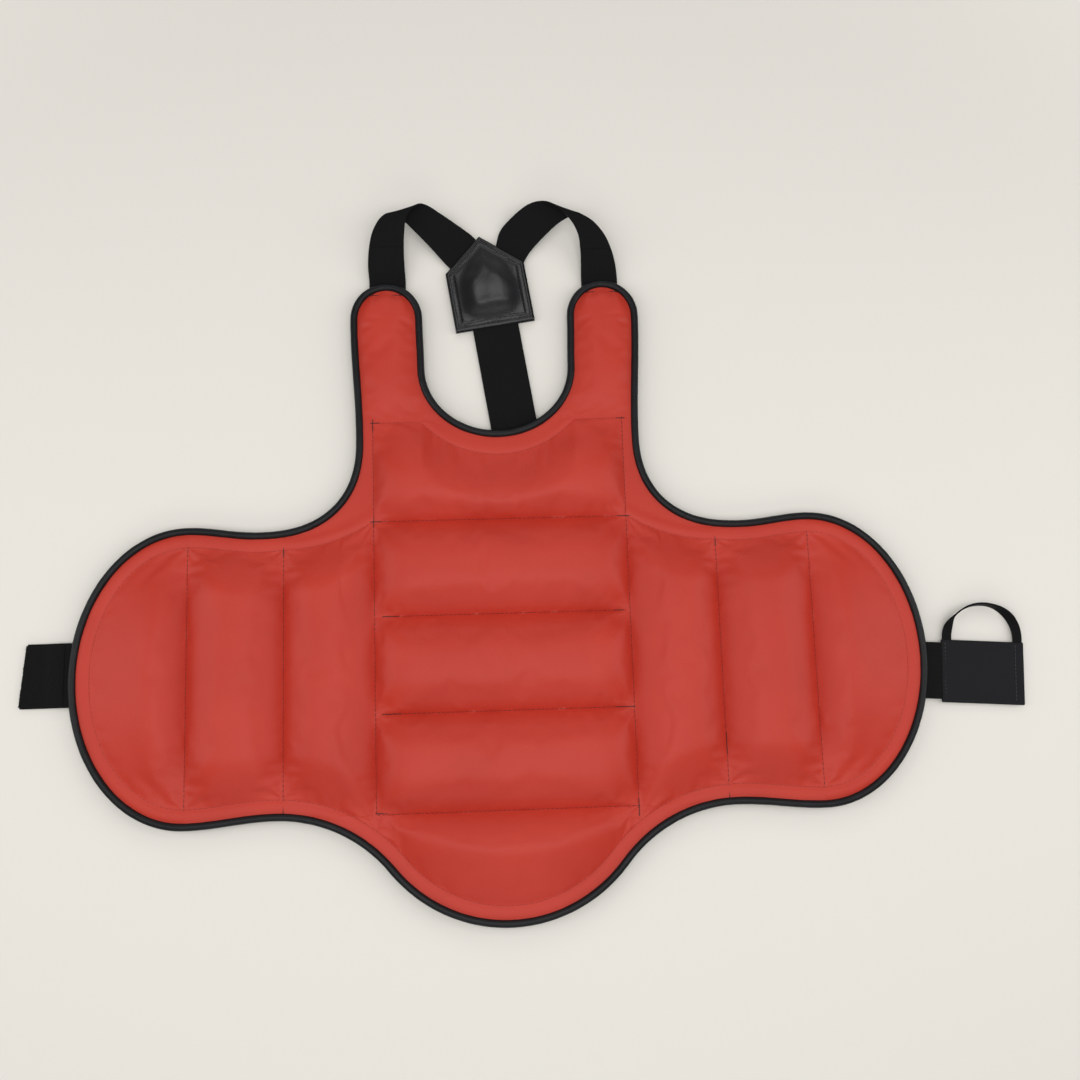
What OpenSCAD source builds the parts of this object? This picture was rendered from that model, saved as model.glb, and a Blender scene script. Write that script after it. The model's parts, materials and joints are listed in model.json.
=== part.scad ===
// Chest protector: a quilted foam panel with folding side wings, a folding belly flap,
// a Y-shaped elastic back strap and a hook-and-loop waist closure.
// It lies on its back as in the photograph. The red front faces +Z, the neck is towards +Y,
// and X = 0 is the panel's middle. Left and right are the viewer's. Millimetres.

/* [Panel] */
// Width of the quilted rows between the two upright seams
centre_w = 202; // [170:1:230]
// Height of each of the three body rows
row_h = 76; // [64:1:88]
// Height of the chest pad above the body rows
chest_h = 81; // [66:1:100]
// Width of each rib tube
rib_w = 71; // [60:1:85]
// Width of each wing tube
wing_w = 75; // [60:1:90]
// Length of each rounded wing end
wing_tip_l = 90; // [70:1:110]
// Height of the wings
wing_h = 234; // [214:1:250]
// How far the wings' middle lies below the rows' middle
wing_drop = 4; // [0:0.5:10]
// How far the edge draws in at the waist
waist_dip = 5; // [0:0.5:10]

/* [Belly flap] */
// How far the flap hangs below the waist
flap_drop = 85; // [65:1:105]
// Radius of the flap's round end
flap_r = 118; // [106:1:135]
// Radius of the curve from the flap into the ribs
flap_fillet_r = 112; // [95:1:125]

/* [Shoulders and neck] */
// Width of the plain border beside the chest pad
side_border = 13.5; // [11:0.5:20]
// Width of each arm hole's curve
armhole_w = 77.5; // [66:0.5:90]
// Height of each arm hole's curve
armhole_h = 73.5; // [60:0.5:80]
// Width of each shoulder tab
shoulder_w = 59; // [48:1:68]
// How far each shoulder tab leans outwards
shoulder_lean = 4; // [0:0.5:10]
// Length of each shoulder tab above the chest pad, without its round tip
shoulder_l = 88; // [70:1:110]
// Length of each shoulder tab's round tip
tip_l = 30; // [20:1:36]
// Width of the neck opening
neck_w = 117; // [105:1:125]
// Depth of the neck's round bottom
neck_depth = 53; // [48:1:60]
// How far the neck's bottom lies below the chest pad's top seam
neck_low = 8; // [4:1:12]
// Width of the border under the neck
neck_border = 20; // [14:1:24]

/* [Layers] */
// Rise of a pad's front above its seams
front_crown = 14; // [8:0.5:16]
// Depth of a pad's back below its seams before it lies flat on the floor
back_crown = 9; // [7.5:0.5:11]
// Distance from a seam over which a pad swells
crown_run = 38; // [34:1:46]
// Rise of the shoulder pads' front above their edges
shoulder_front = 4.5; // [2:0.5:7]
// Depth of the shoulder pads' back below their edges
shoulder_back = 2; // [1:0.5:2.4]
// Thickness of the front cover
cover_t = 1.2; // [0.8:0.1:1.6]
// Thickness of the back lining
lining_t = 0.8; // [0.5:0.1:1.2]
// Height of the seams above the floor
seam_z = 8; // [7.5:0.1:9]
// Gap between the floor and the rows, for the back strap
strap_room = 3.6; // [2.6:0.1:4.2]
// Distance from the outer edge to the perimeter stitch
border_w = 16; // [14:0.5:20]
// Width of the edge binding
binding_w = 6; // [5:0.5:8]
// Thickness of the edge binding
binding_t = 7.2; // [6:0.2:8]
// Distance from a fold's axis to the layers that fold
fold_gap = 2; // [1.8:0.1:2.6]
// Diameter of the seam thread that a fold turns on
thread_d = 1.6; // [1.4:0.1:1.8]

/* [Back strap] */
// Width of each elastic arm
arm_w = 30; // [25:1:38]
// Width of the stem that runs down the back
stem_w = 38; // [30:1:44]
// Length of the stem below the patch
stem_l = 232; // [180:1:260]
// Thickness of all the webbing
webbing_t = 1.7; // [1.2:0.1:2]
// Thickness of each leather of the patch
leather_t = 1.5; // [1:0.1:2]
// Width of the patch
patch_w = 66; // [58:1:76]
// Height of the patch's upright sides
patch_side = 51; // [44:1:58]
// Height of the patch's point above its upright sides
patch_point = 28; // [20:1:34]
// How far the patch's lower edge lies below the shoulder tips
patch_drop = 39.5; // [36:0.5:44]
// Length of the hook tape at the stem's end
stem_tape_l = 60; // [40:1:90]
// Thickness of the hook tape at the stem's end
stem_tape_t = 0.7; // [0.5:0.1:0.9]

/* [Waist closure] */
// Width of the waist straps
waist_w = 50; // [40:1:58]
// Length of the left strap outside the wing
left_strap_l = 35; // [25:1:60]
// Length of the right elastic between the wing and the tab
elastic_l = 9; // [7:0.5:20]
// Length of the closing tab
tab_l = 67; // [60:1:90]
// Thickness of the closing tab
tab_t = 3; // [2:0.1:4]
// Thickness of the hook and loop tapes
tape_t = 1.4; // [1:0.1:1.8]
// Margin of the tapes inside their straps
tape_margin = 2.5; // [1:0.5:6]
// Outer width of the webbing loop on the tab
loop_w = 65; // [54:1:68]
// Height of the webbing loop above the tab
loop_h = 32; // [24:1:40]
// Width of the loop's webbing
loop_band = 7.5; // [5:0.5:10]

/* [Hidden] */

// Clearance between pieces of different bodies that only pass each other
clearance = 0.3;
// The layers that carry a fold's thread end at the thread
thread_r = thread_d / 2;
// Where a pad's grid lines lie across it, as shares of its width
pad_steps = [0, 0.09, 0.25, 0.5, 0.75, 0.91, 1];
// The binding is thicker than the layers, so it ends further from the folds that it carries
binding_gap = fold_gap + 0.4;
// How sharply the arm hole's corner turns: 2 is an ellipse
armhole_power = 2.4;
// How quickly a pad swells near its seams
crown_power = 3;

half_w = centre_w / 2;
row_top = 1.5 * row_h;
chest_y = row_top + chest_h;
wing_x = half_w + rib_w;
end_x = wing_x + wing_w;
edge_x = end_x + wing_tip_l;
wing_y = -wing_drop;
waist_top = wing_y + wing_h / 2 - waist_dip;
waist_bottom = wing_y - wing_h / 2 + waist_dip;
flap_y = waist_bottom - flap_drop;
fillet_x = sqrt(pow(flap_r + flap_fillet_r, 2) - pow(flap_r + flap_fillet_r - flap_drop, 2));
// The flap's fold runs across the ribs' lower borders to here, where it meets the binding
corner_x = min(wing_x - border_w, fillet_x - sqrt(max(0, pow(flap_fillet_r + binding_w, 2)
  - pow(flap_fillet_r - row_top - fold_gap - waist_bottom, 2))));
armhole_x = half_w + side_border;
valley_x = armhole_x + armhole_w;
armhole_y = waist_top + armhole_h;
tip_y = chest_y + shoulder_l;
tip_x = armhole_x + shoulder_lean - shoulder_w / 2;
neck_y = chest_y - neck_low + neck_depth;
floor_depth = seam_z - lining_t;
row_depth = seam_z - lining_t - strap_room;

// Heights of the straps where they leave the panel, under the binding
strap_z = seam_z - binding_t / 2 - webbing_t / 2;
// Height of a waist strap's middle where it lies on the floor, and of the stem's over its tape
lie_z = clearance + webbing_t / 2;
stem_z = lie_z + stem_tape_t;
// Height of the straps' middle between the patch's two leathers
patch_z = clearance + leather_t + webbing_t / 2;
// A strap's fold needs this gap on both sides of its axis
strap_gap = 1.2;
// The arms fold this far past the shoulder tips, and the waist straps past the wings
strap_reach = 3.5;
arm_axis_y = tip_y + tip_l + strap_reach;
waist_axis_x = edge_x + strap_reach;

// The patch lies askew, as photographed: its lower edge's middle and its turn
patch_at = [0.5, arm_axis_y - patch_drop];
patch_turn = 8.7;
// The right strap leaves the wing below the left one and droops a little
left_strap_y = 0;
right_strap_y = -17;
right_strap_turn = -4;

// Each arm's outer and inner edge, from the shoulder tip over the crest to the patch,
// measured from the middle of the arm's fold axis with the strap's middle height as zero
arm_low = patch_z - strap_z;
left_arm_edges = [
  [[-15, 1.2, 0], [15, 1.2, 0]],
  [[-15.5, 13, 4.5], [14.5, 13, 4.5]],
  [[-14, 27, 9.5], [14.5, 27, 9.5]],
  [[-10, 40, 14.5], [15.5, 39, 14]],
  [[-2.5, 50, 17.5], [18, 50.5, 17.5]],
  [[6, 53, 15.5], [26.5, 60, 16.5]],
  [[14, 50, 9.5], [34.5, 62, 11.5]],
  [[22.5, 43, 5.5], [44.5, 57, 7]],
  [[35, 30.5, 2], [58, 48.5, 3]],
  [[48, 16, arm_low], [72, 38.5, arm_low]],
  [[60, 3, arm_low], [81, 25, arm_low]]
];
right_arm_edges = [
  [[15, 1.2, 0], [-15, 1.2, 0]],
  [[13.5, 12, 4.5], [-15, 12, 4.5]],
  [[10, 23, 9.5], [-15.5, 23, 9.5]],
  [[4, 34, 14.5], [-17.5, 34.5, 14]],
  [[-6, 44.5, 17.5], [-24.5, 46.5, 17.5]],
  [[-18.5, 51, 17], [-37, 58, 17.5]],
  [[-25, 50, 11], [-47, 63, 14.5]],
  [[-35, 45, 6.5], [-58, 62, 10.5]],
  [[-47.5, 34.5, 2.5], [-70.5, 54, 5.5]],
  [[-58.5, 23, arm_low], [-81.5, 43.5, arm_low]],
  [[-66, 8, arm_low], [-86, 27, arm_low]]
];
arm_x = tip_x - 1;

function ease(t) = (1 - cos(180 * min(1, max(0, t)))) / 2;
function mix(a, b, t) = a + (b - a) * t;
function span(a, b, steps) = [for (t = steps) mix(a, b, t)];
function even(n) = [for (i = [0:n]) i / n];
function swell(d) = 1 - pow(1 - min(1, max(0, d / crown_run)), crown_power);
function inside(a, x, b) = min(x - a, b - x);
function reversed(v) = [for (i = [len(v) - 1:-1:0]) v[i]];
function arc_y(share, height) = height * sqrt(max(0, 1 - share * share));

// The outline, drawn in by e: the upper and the lower edge at x, for x > 0
function armhole_edge_y(x, e) =
  let (share = min(1, (valley_x - x) / (armhole_w + e)))
  armhole_y - (armhole_h + e) * pow(1 - pow(share, armhole_power), 1 / armhole_power);
function upper_y(x, e) =
  x <= armhole_x - e ? chest_y :
  x < valley_x ? armhole_edge_y(x, e) :
  waist_top - e + waist_dip * ease((x - valley_x) / (end_x - valley_x));
function lower_y(x, e) =
  x < fillet_x * (flap_r - e) / (flap_r + flap_fillet_r)
    ? flap_y + flap_r - sqrt(pow(flap_r - e, 2) - x * x) :
  x < fillet_x
    ? waist_bottom - flap_fillet_r + sqrt(pow(flap_fillet_r + e, 2) - pow(fillet_x - x, 2)) :
  waist_bottom + e - waist_dip * ease((x - fillet_x) / (end_x - fillet_x));
function armhole_edge_x(y, e) =
  let (share = min(1, (armhole_y - y) / (armhole_h + e)))
  valley_x - (armhole_w + e) * pow(1 - pow(share, armhole_power), 1 / armhole_power);
function shoulder_outer_x(y, e) =
  armhole_x - e + shoulder_lean * ease((y - armhole_y) / (tip_y - armhole_y));
function shoulder_inner_x(y, e) = y < neck_y
  ? arc_y((neck_y - y) / (neck_depth + e), neck_w / 2 + e)
  : mix(neck_w / 2, tip_x - shoulder_w / 2, ease((y - neck_y) / (tip_y - neck_y))) + e;
function neck_edge_y(x, e) = neck_y - arc_y(x / (neck_w / 2 + e), neck_depth + e);

// A pad's grid point: place, height of the cover's inner face, height of the lining's inner face
function pad_point(x, y, k, depth = floor_depth) =
  [x, y, seam_z + front_crown * k, seam_z - min(depth, back_crown * k)];

// The chest and the three body rows, between the upright seams
centre_steps = [-1, -0.93, -0.81, -0.62, -0.46, -0.32, -0.16, 0, 0.16, 0.32, 0.46, 0.62, 0.81, 0.93, 1];
function chest_top(x) = min(chest_y, neck_edge_y(x, neck_border));
function chest_edge(x) = max(chest_top(x), min(chest_y, neck_edge_y(x, binding_w)));
function row_points(x, low, high) = [for (y = span(low, high, pad_steps))
  pad_point(x, y, swell(half_w - abs(x)) * swell(inside(low, y, high)), row_depth)];
function centre_column(x) = concat(
  row_points(x, thread_r - row_top, -row_h / 2),
  row_points(x, -row_h / 2, row_h / 2),
  row_points(x, row_h / 2, row_top),
  row_points(x, row_top, chest_top(x)),
  [pad_point(x, chest_edge(x), 0)]
);
centre_grid = [for (s = centre_steps) centre_column(s * half_w)];

// A rib tube with its borders, up to the arm hole
rib_border_x = armhole_x - binding_w;
corner_step = 0.05;
rib_xs = concat(
  span(half_w, rib_border_x, [0, 0.5, 1]),
  span(rib_border_x, corner_x, [0.05, 0.22, 0.5, 0.8, 1]),
  span(corner_x + corner_step, wing_x - thread_r, [0, 0.3, 0.6, 0.85, 1])
);
rib_fold_y = thread_r - row_top;
function rib_edge(x) = let (y = lower_y(x, binding_w)) x > corner_x ? y : max(rib_fold_y, y);
function rib_low(x) = max(rib_edge(x), rib_fold_y, lower_y(x, border_w));
function rib_high(x) = let (y = upper_y(wing_x, border_w))
  y + (row_top - y) * pow(max(0, 1 - (x - half_w) / rib_w), 2);
function rib_column(x) = let (low = rib_low(x), high = rib_high(x)) concat(
  [pad_point(x, rib_edge(x), 0)],
  [for (y = span(low, high, pad_steps))
    pad_point(x, y, swell(inside(half_w, x, wing_x - thread_r)) * swell(inside(low, y, high)))],
  [pad_point(x, upper_y(x, binding_w), 0)]
);
rib_grid = [for (x = rib_xs) rib_column(x)];

// A shoulder tab
shoulder_ys = concat(
  span(chest_y, neck_y, [0, 0.25, 0.55]), span(neck_y, tip_y, [0, 0.5]),
  [for (a = [0, 25, 50, 70, 90]) tip_y + (tip_l - binding_w) * sin(a)]
);
function shoulder_row_x(y, t) =
  let (half = arc_y(max(0, y - tip_y) / (tip_l - binding_w), shoulder_w / 2 - binding_w))
  y > tip_y ? tip_x + half * (2 * t - 1)
  : mix(shoulder_inner_x(y, binding_w), shoulder_outer_x(y, binding_w), t);
function shoulder_point(y, t) =
  let (
    x = shoulder_row_x(y, t),
    k = swell(2 * inside(shoulder_row_x(y, 0), x, shoulder_row_x(y, 1)))
      * swell(2 * inside(chest_y, y, tip_y + tip_l - binding_w))
  )
  [x, y, seam_z + shoulder_front * k, seam_z - shoulder_back * k];
shoulder_grid = [for (t = pad_steps) [for (y = shoulder_ys) shoulder_point(y, t)]];

// The belly flap: a pad between the upright seams, and a plain corner on each side of it
flap_steps = [-1, -0.92, -0.8, -0.62, -0.4, -0.2, 0, 0.2, 0.4, 0.62, 0.8, 0.92, 1];
flap_end = corner_x - clearance;
corner_steps = [0.35, 0.7, 1];
function flap_column(x) =
  let (high = -row_top - fold_gap, low = min(high, lower_y(abs(x), border_w)))
  concat(
    [pad_point(x, min(low, lower_y(abs(x), binding_w)), 0)],
    [for (y = span(low, high, pad_steps))
      pad_point(x, y, swell(half_w - abs(x)) * swell(inside(low, y, high)))]
  );
flap_xs = concat(
  span(-half_w, -flap_end, reversed(corner_steps)),
  [for (s = flap_steps) s * half_w],
  span(half_w, flap_end, corner_steps)
);
flap_grid = [for (x = flap_xs) flap_column(x)];

// A wing tube, and the rounded end beyond it on rings round the middle of their seam
wing_low_x = wing_x + fold_gap;
wing_high_x = end_x - thread_r;
function wing_column(x) =
  let (low = lower_y(x, border_w), high = upper_y(x, border_w))
  concat(
    [pad_point(x, lower_y(x, binding_w), 0)],
    [for (y = span(low, high, pad_steps))
      pad_point(x, y, swell(inside(wing_low_x, x, wing_high_x)) * swell(inside(low, y, high)))],
    [pad_point(x, upper_y(x, binding_w), 0)]
  );
wing_grid = [for (x = span(wing_low_x, wing_high_x, pad_steps)) wing_column(x)];

end_low_x = end_x + fold_gap;
end_rings = [0, 0.1, 0.3, 0.55, 0.78, 0.93, 1];
function end_point(a, ring, e) = [
  end_low_x + ring * (edge_x - end_low_x - e) * cos(a),
  wing_y + ring * (wing_h / 2 - e) * sin(a)
];
function end_pad(a, ring) =
  let (p = end_point(a, ring, border_w), rim = (1 - ring) * (edge_x - end_low_x - border_w))
  pad_point(p[0], p[1], swell(p[0] - end_low_x) * swell(rim));
function end_border(a) = let (p = end_point(a, 1, binding_w)) pad_point(p[0], p[1], 0);
end_angles = [for (i = [-6:6]) 15 * i];
end_grid = concat(
  [for (ring = end_rings) [for (a = end_angles) end_pad(a, ring)]],
  [[for (a = end_angles) end_border(a)]]
);

// Solids between two matching grids of points; cells that shrink to nothing are left out
function layer(grid, k, lift) = [for (row = grid) [for (p = row) [p[0], p[1], p[k] + lift]]];
function part_of(grid, i0, i1, j0, j1) = [for (i = [i0:i1]) [for (j = [j0:j1]) grid[i][j]]];
function flat_list(grid) = [for (row = grid) for (p = row) p];
function real_face(points, f) =
  norm(points[f[0]] - points[f[1]]) > 0.001 && norm(points[f[1]] - points[f[2]]) > 0.001
  && norm(points[f[2]] - points[f[0]]) > 0.001;

module slab(top, bottom) {
  n = len(top);
  m = len(top[0]);
  points = concat(flat_list(top), flat_list(bottom));
  low = n * m;
  cells = [for (i = [0:n - 2]) for (j = [0:m - 2]) i * m + j];
  faces = concat(
    [for (a = cells) each [[a, a + 1, a + m + 1], [a, a + m + 1, a + m]]],
    [for (a = cells) let (b = a + low) each [[b, b + m + 1, b + 1], [b, b + m, b + m + 1]]],
    [for (j = [0:m - 2]) each wall(j + 1, j, low)],
    [for (j = [0:m - 2]) let (a = (n - 1) * m + j) each wall(a, a + 1, low)],
    [for (i = [0:n - 2]) each wall(i * m, i * m + m, low)],
    [for (i = [0:n - 2]) let (a = i * m + m - 1) each wall(a + m, a, low)]
  );
  polyhedron(points, [for (f = faces) if (real_face(points, f)) f]);
}
function wall(a, b, low) = [[a, b, b + low], [a, b + low, a + low]];

module cover_of(grid) color("firebrick") slab(layer(grid, 2, cover_t), layer(grid, 2, 0));
module lining_of(grid) color("dimgray") slab(layer(grid, 3, 0), layer(grid, 3, -lining_t));
module foam_of(grid) color("khaki") slab(layer(grid, 2, 0), layer(grid, 3, 0));
module on_left() mirror([1, 0, 0]) children();

// The edge binding's section: distance in from the outer edge, and height from the seams
binding_section = [
  [0, 0], [0.1 * binding_w, 0.3 * binding_t], [0.3 * binding_w, 0.46 * binding_t],
  [0.5 * binding_w, 0.5 * binding_t], [0.8 * binding_w, 0.38 * binding_t], [binding_w, cover_t],
  [binding_w, -lining_t], [0.75 * binding_w, -0.5 * binding_t], [0.3 * binding_w, -0.5 * binding_t],
  [0.1 * binding_w, -0.3 * binding_t]
];

// Runs of the outline drawn in by e, in order, with the panel on their left
function torso_run_half(e) =
  let (turn_x = armhole_x + 0.3 * armhole_w, turn_y = upper_y(turn_x, 0) + 4)
  concat(
    [for (x = span(wing_x - binding_gap, turn_x, even(3))) [x, upper_y(x, e)]],
    [for (y = span(turn_y, armhole_y, even(5))) [armhole_edge_x(y, e), y]],
    [for (y = span(armhole_y, tip_y, [0.25, 0.5, 0.75, 1])) [shoulder_outer_x(y, e), y]],
    [for (a = [15:15:165]) [tip_x + (shoulder_w / 2 - e) * cos(a), tip_y + (tip_l - e) * sin(a)]],
    [for (y = span(tip_y, neck_y, even(2))) [shoulder_inner_x(y, e), y]],
    [for (a = [15:15:90]) [(neck_w / 2 + e) * cos(a), neck_y - (neck_depth + e) * sin(a)]]
  );
function mirrored(run) = [for (p = reversed(run)) [-p[0], p[1]]];
function torso_run(e) = let (half = torso_run_half(e))
  concat(half, [for (i = [1:len(half) - 1]) mirrored(half)[i]]);
function low_rib_run(e) =
  [for (x = span(corner_x + clearance, wing_x - binding_gap, even(4))) [x, lower_y(x, e)]];
function flap_run(e) = [for (x = span(-flap_end, flap_end, even(28))) [x, lower_y(abs(x), e)]];
function wing_upper_run(e) = [for (x = span(end_x - binding_gap, wing_low_x, even(6))) [x, upper_y(x, e)]];
function wing_lower_run(e) = [for (x = span(wing_low_x, end_x - binding_gap, even(6))) [x, lower_y(x, e)]];
function end_run(e) = [for (a = [-90:7.5:90]) end_point(a, 1, e)];

module bead(runs) {
  sides = len(binding_section);
  count = len(runs[0]);
  points = [for (i = [0:count - 1]) for (s = [0:sides - 1])
    [runs[s][i][0], runs[s][i][1], seam_z + binding_section[s][1]]];
  walls = [for (i = [0:count - 2]) for (s = [0:sides - 1])
    let (a = i * sides + s, b = i * sides + (s + 1) % sides)
    each [[a, b, b + sides], [a, b + sides, a + sides]]];
  last = (count - 1) * sides;
  caps = [for (s = [1:sides - 2]) each [[0, s + 1, s], [last, last + s, last + s + 1]]];
  color("black") polyhedron(points, concat(walls, caps));
}

// Torso
module cover_centre() cover_of(centre_grid);
module cover_left_rib() on_left() cover_of(rib_grid);
module cover_right_rib() cover_of(rib_grid);
module cover_left_shoulder() on_left() cover_of(shoulder_grid);
module cover_right_shoulder() cover_of(shoulder_grid);
module lining_centre() lining_of(centre_grid);
module lining_left_rib() on_left() lining_of(rib_grid);
module lining_right_rib() lining_of(rib_grid);
module lining_left_shoulder() on_left() lining_of(shoulder_grid);
module lining_right_shoulder() lining_of(shoulder_grid);
module centre_foam(row) foam_of(part_of(centre_grid, 1, len(centre_grid) - 2, row * 7 + 1, row * 7 + 5));
module foam_row_lower() centre_foam(0);
module foam_row_middle() centre_foam(1);
module foam_row_upper() centre_foam(2);
module foam_chest() centre_foam(3);
module rib_foam() foam_of(part_of(rib_grid, 1, len(rib_grid) - 2, 2, 6));
module foam_left_rib() on_left() rib_foam();
module foam_right_rib() rib_foam();
module shoulder_foam() foam_of(part_of(shoulder_grid, 1, 5, 1, len(shoulder_ys) - 2));
module foam_left_shoulder() on_left() shoulder_foam();
module foam_right_shoulder() shoulder_foam();
module binding_torso() {
  bead([for (q = binding_section) torso_run(q[0])]);
  bead([for (q = binding_section) low_rib_run(q[0])]);
  bead([for (q = binding_section) mirrored(low_rib_run(q[0]))]);
}
module fold_thread(x) {
  low = lower_y(x, binding_w);
  color("black") translate([x, low, seam_z]) rotate([-90, 0, 0])
    cylinder(d = thread_d, h = upper_y(x, binding_w) - low, $fn = 24);
}
module thread_torso() {
  fold_thread(wing_x);
  on_left() fold_thread(wing_x);
  color("black") translate([-flap_end, -row_top, seam_z]) rotate([0, 90, 0])
    cylinder(d = thread_d, h = 2 * flap_end, $fn = 24);
}
module arm_anchor() color("dimgray") translate([arm_x, arm_axis_y, 0]) rotate([0, 0, 90])
  sewn_end(arm_axis_y - tip_y, strap_z, arm_w);
module anchor_left_arm() on_left() arm_anchor();
module anchor_right_arm() arm_anchor();

// Belly flap
module cover_flap() cover_of(flap_grid);
module lining_flap() lining_of(flap_grid);
module foam_flap() foam_of(part_of(flap_grid, 4, len(flap_grid) - 5, 2, 6));
module binding_flap() bead([for (q = binding_section) flap_run(q[0])]);

// Wings
module wing_foam() foam_of(part_of(wing_grid, 1, 5, 2, 6));
module wing_binding() {
  bead([for (q = binding_section) wing_upper_run(q[0])]);
  bead([for (q = binding_section) wing_lower_run(q[0])]);
}
module end_foam() foam_of(part_of(end_grid, 1, 5, 1, len(end_angles) - 2));
module end_binding() bead([for (q = binding_section) end_run(q[0])]);
module cover_left_wing() on_left() cover_of(wing_grid);
module lining_left_wing() on_left() lining_of(wing_grid);
module foam_left_wing() on_left() wing_foam();
module binding_left_wing() on_left() wing_binding();
module thread_left_wing() on_left() fold_thread(end_x);
module cover_left_end() on_left() cover_of(end_grid);
module lining_left_end() on_left() lining_of(end_grid);
module foam_left_end() on_left() end_foam();
module binding_left_end() on_left() end_binding();
module cover_right_wing() cover_of(wing_grid);
module lining_right_wing() lining_of(wing_grid);
module foam_right_wing() wing_foam();
module binding_right_wing() wing_binding();
module thread_right_wing() fold_thread(end_x);
module cover_right_end() cover_of(end_grid);
module lining_right_end() lining_of(end_grid);
module foam_right_end() end_foam();
module binding_right_end() end_binding();

// Straps are strips along X from their fold's axis, with a bent side view
module strip(path, width) {
  half = webbing_t / 2;
  side = concat([for (p = path) [p[0], p[1] + half]], [for (p = reversed(path)) [p[0], p[1] - half]]);
  translate([0, width / 2, 0]) rotate([90, 0, 0]) linear_extrude(height = width) polygon(side);
}
// A strap's sewn-in end, from its length behind the fold's axis to a round lip on the axis
module sewn_end(length, z, width) {
  strip([[-length, z], [0, z]], width);
  translate([0, width / 2, z]) rotate([90, 0, 0]) cylinder(d = webbing_t, h = width, $fn = 24);
}
module at_left_strap() translate([-waist_axis_x, left_strap_y, 0]) mirror([1, 0, 0]) children();
module at_right_strap()
  translate([waist_axis_x, right_strap_y, 0]) rotate([0, 0, right_strap_turn]) children();
module at_patch() translate([patch_at[0], patch_at[1], 0]) rotate([0, 0, patch_turn]) children();

module waist_anchor() color("dimgray") sewn_end(strap_reach + border_w - 2, strap_z, waist_w);
module anchor_left_waist() at_left_strap() waist_anchor();
module anchor_right_waist() at_right_strap() waist_anchor();
// The left strap comes down to the floor over this length
strap_fall = 12;
module left_waist_strap() color("dimgray") at_left_strap()
  strip([[strap_gap, strap_z], [strap_fall, lie_z], [left_strap_l, lie_z]], waist_w);
module left_loop_tape() color("gray") at_left_strap()
  translate([strap_fall + tape_margin, tape_margin - waist_w / 2, lie_z + webbing_t / 2])
    cube([left_strap_l - strap_fall - 2 * tape_margin, waist_w - 2 * tape_margin, tape_t]);
tab_z = clearance + tape_t;
module right_elastic() color("dimgray") at_right_strap()
  strip([[strap_gap, strap_z], [elastic_l, tab_z + tab_t / 2]], waist_w - 2 * tape_margin);
module loop_foot(side)
  translate([elastic_l + tab_l / 2 + side * (loop_w - loop_band) / 2, loop_axis_y, 0])
    rotate([0, 0, 90]) sewn_end(strap_gap, tab_z + tab_t / 2, loop_band);
module right_tab() color("darkslategray") at_right_strap() {
  translate([elastic_l, -waist_w / 2, tab_z]) cube([tab_l, waist_w, tab_t]);
  loop_foot(-1);
  loop_foot(1);
}
module right_hook_tape() color("gray") at_right_strap()
  translate([elastic_l + tape_margin, tape_margin - waist_w / 2, clearance])
    cube([tab_l - 2 * tape_margin, waist_w - 2 * tape_margin, tape_t]);
loop_axis_y = waist_w / 2 + strap_gap;
function loop_arc(e) = [for (a = [0:10:180])
  [(loop_w / 2 - e) * cos(a), (loop_h - 2 * strap_gap - 0.65 * e) * sin(a)]];
module tab_loop() color("dimgray") at_right_strap()
  translate([elastic_l + tab_l / 2, loop_axis_y + strap_gap, tab_z + tab_t / 2 - webbing_t / 2])
    linear_extrude(height = webbing_t) polygon(concat(loop_arc(0), reversed(loop_arc(loop_band))));

// Y-shaped back strap: each arm is a ribbon through its edges' points
function curve_point(v, i, t) =
  let (
    last = len(v) - 1,
    a = v[max(0, i - 1)], b = v[i], c = v[min(last, i + 1)], d = v[min(last, i + 2)]
  )
  0.5 * (2 * b + (c - a) * t + (2 * a - 5 * b + 4 * c - d) * t * t + (3 * b - a - 3 * c + d) * t * t * t);
function above_patch(p) = [p[0], p[1], max(p[2], arm_low)];
function curve(v, n) = concat(
  [for (i = [0:len(v) - 2]) for (k = [0:n - 1]) above_patch(curve_point(v, i, k / n))], [v[len(v) - 1]]);
function unit(v) = v / norm(v);
function widened(edges, width) = [for (i = [0:len(edges) - 1])
  let (a = edges[i][0], b = edges[i][1], more = (width / 30 - 1) / 2)
  [a + (a - b) * more, b + (b - a) * more]];
function ribbon_normal(outer, inner, i) =
  let (
    last = len(outer) - 1,
    along = outer[min(last, i + 1)] + inner[min(last, i + 1)] - outer[max(0, i - 1)] - inner[max(0, i - 1)]
  )
  unit(cross(along, inner[i] - outer[i]));
module ribbon(edges) {
  outer = curve([for (e = edges) e[0]], 3);
  inner = curve([for (e = edges) e[1]], 3);
  lift = [for (i = [0:len(outer) - 1]) ribbon_normal(outer, inner, i) * webbing_t / 2];
  rows = [0:len(outer) - 1];
  slab(
    [for (i = rows) [outer[i] + lift[i], inner[i] + lift[i]]],
    [for (i = rows) [outer[i] - lift[i], inner[i] - lift[i]]]
  );
}
module arm_left() color("dimgray")
  translate([-arm_x, arm_axis_y, strap_z]) ribbon(widened(left_arm_edges, arm_w));
module arm_right() color("dimgray")
  translate([arm_x, arm_axis_y, strap_z]) ribbon(widened(right_arm_edges, arm_w));
module patch_leather(z) at_patch() translate([0, 0, z]) linear_extrude(height = leather_t)
  polygon([
    [-patch_w / 2, 0], [patch_w / 2, 0], [patch_w / 2, patch_side],
    [0, patch_side + patch_point], [-patch_w / 2, patch_side]
  ]);
module patch_back() color("black") patch_leather(clearance);
module patch_front() color("black") patch_leather(clearance + leather_t + webbing_t);
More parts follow.
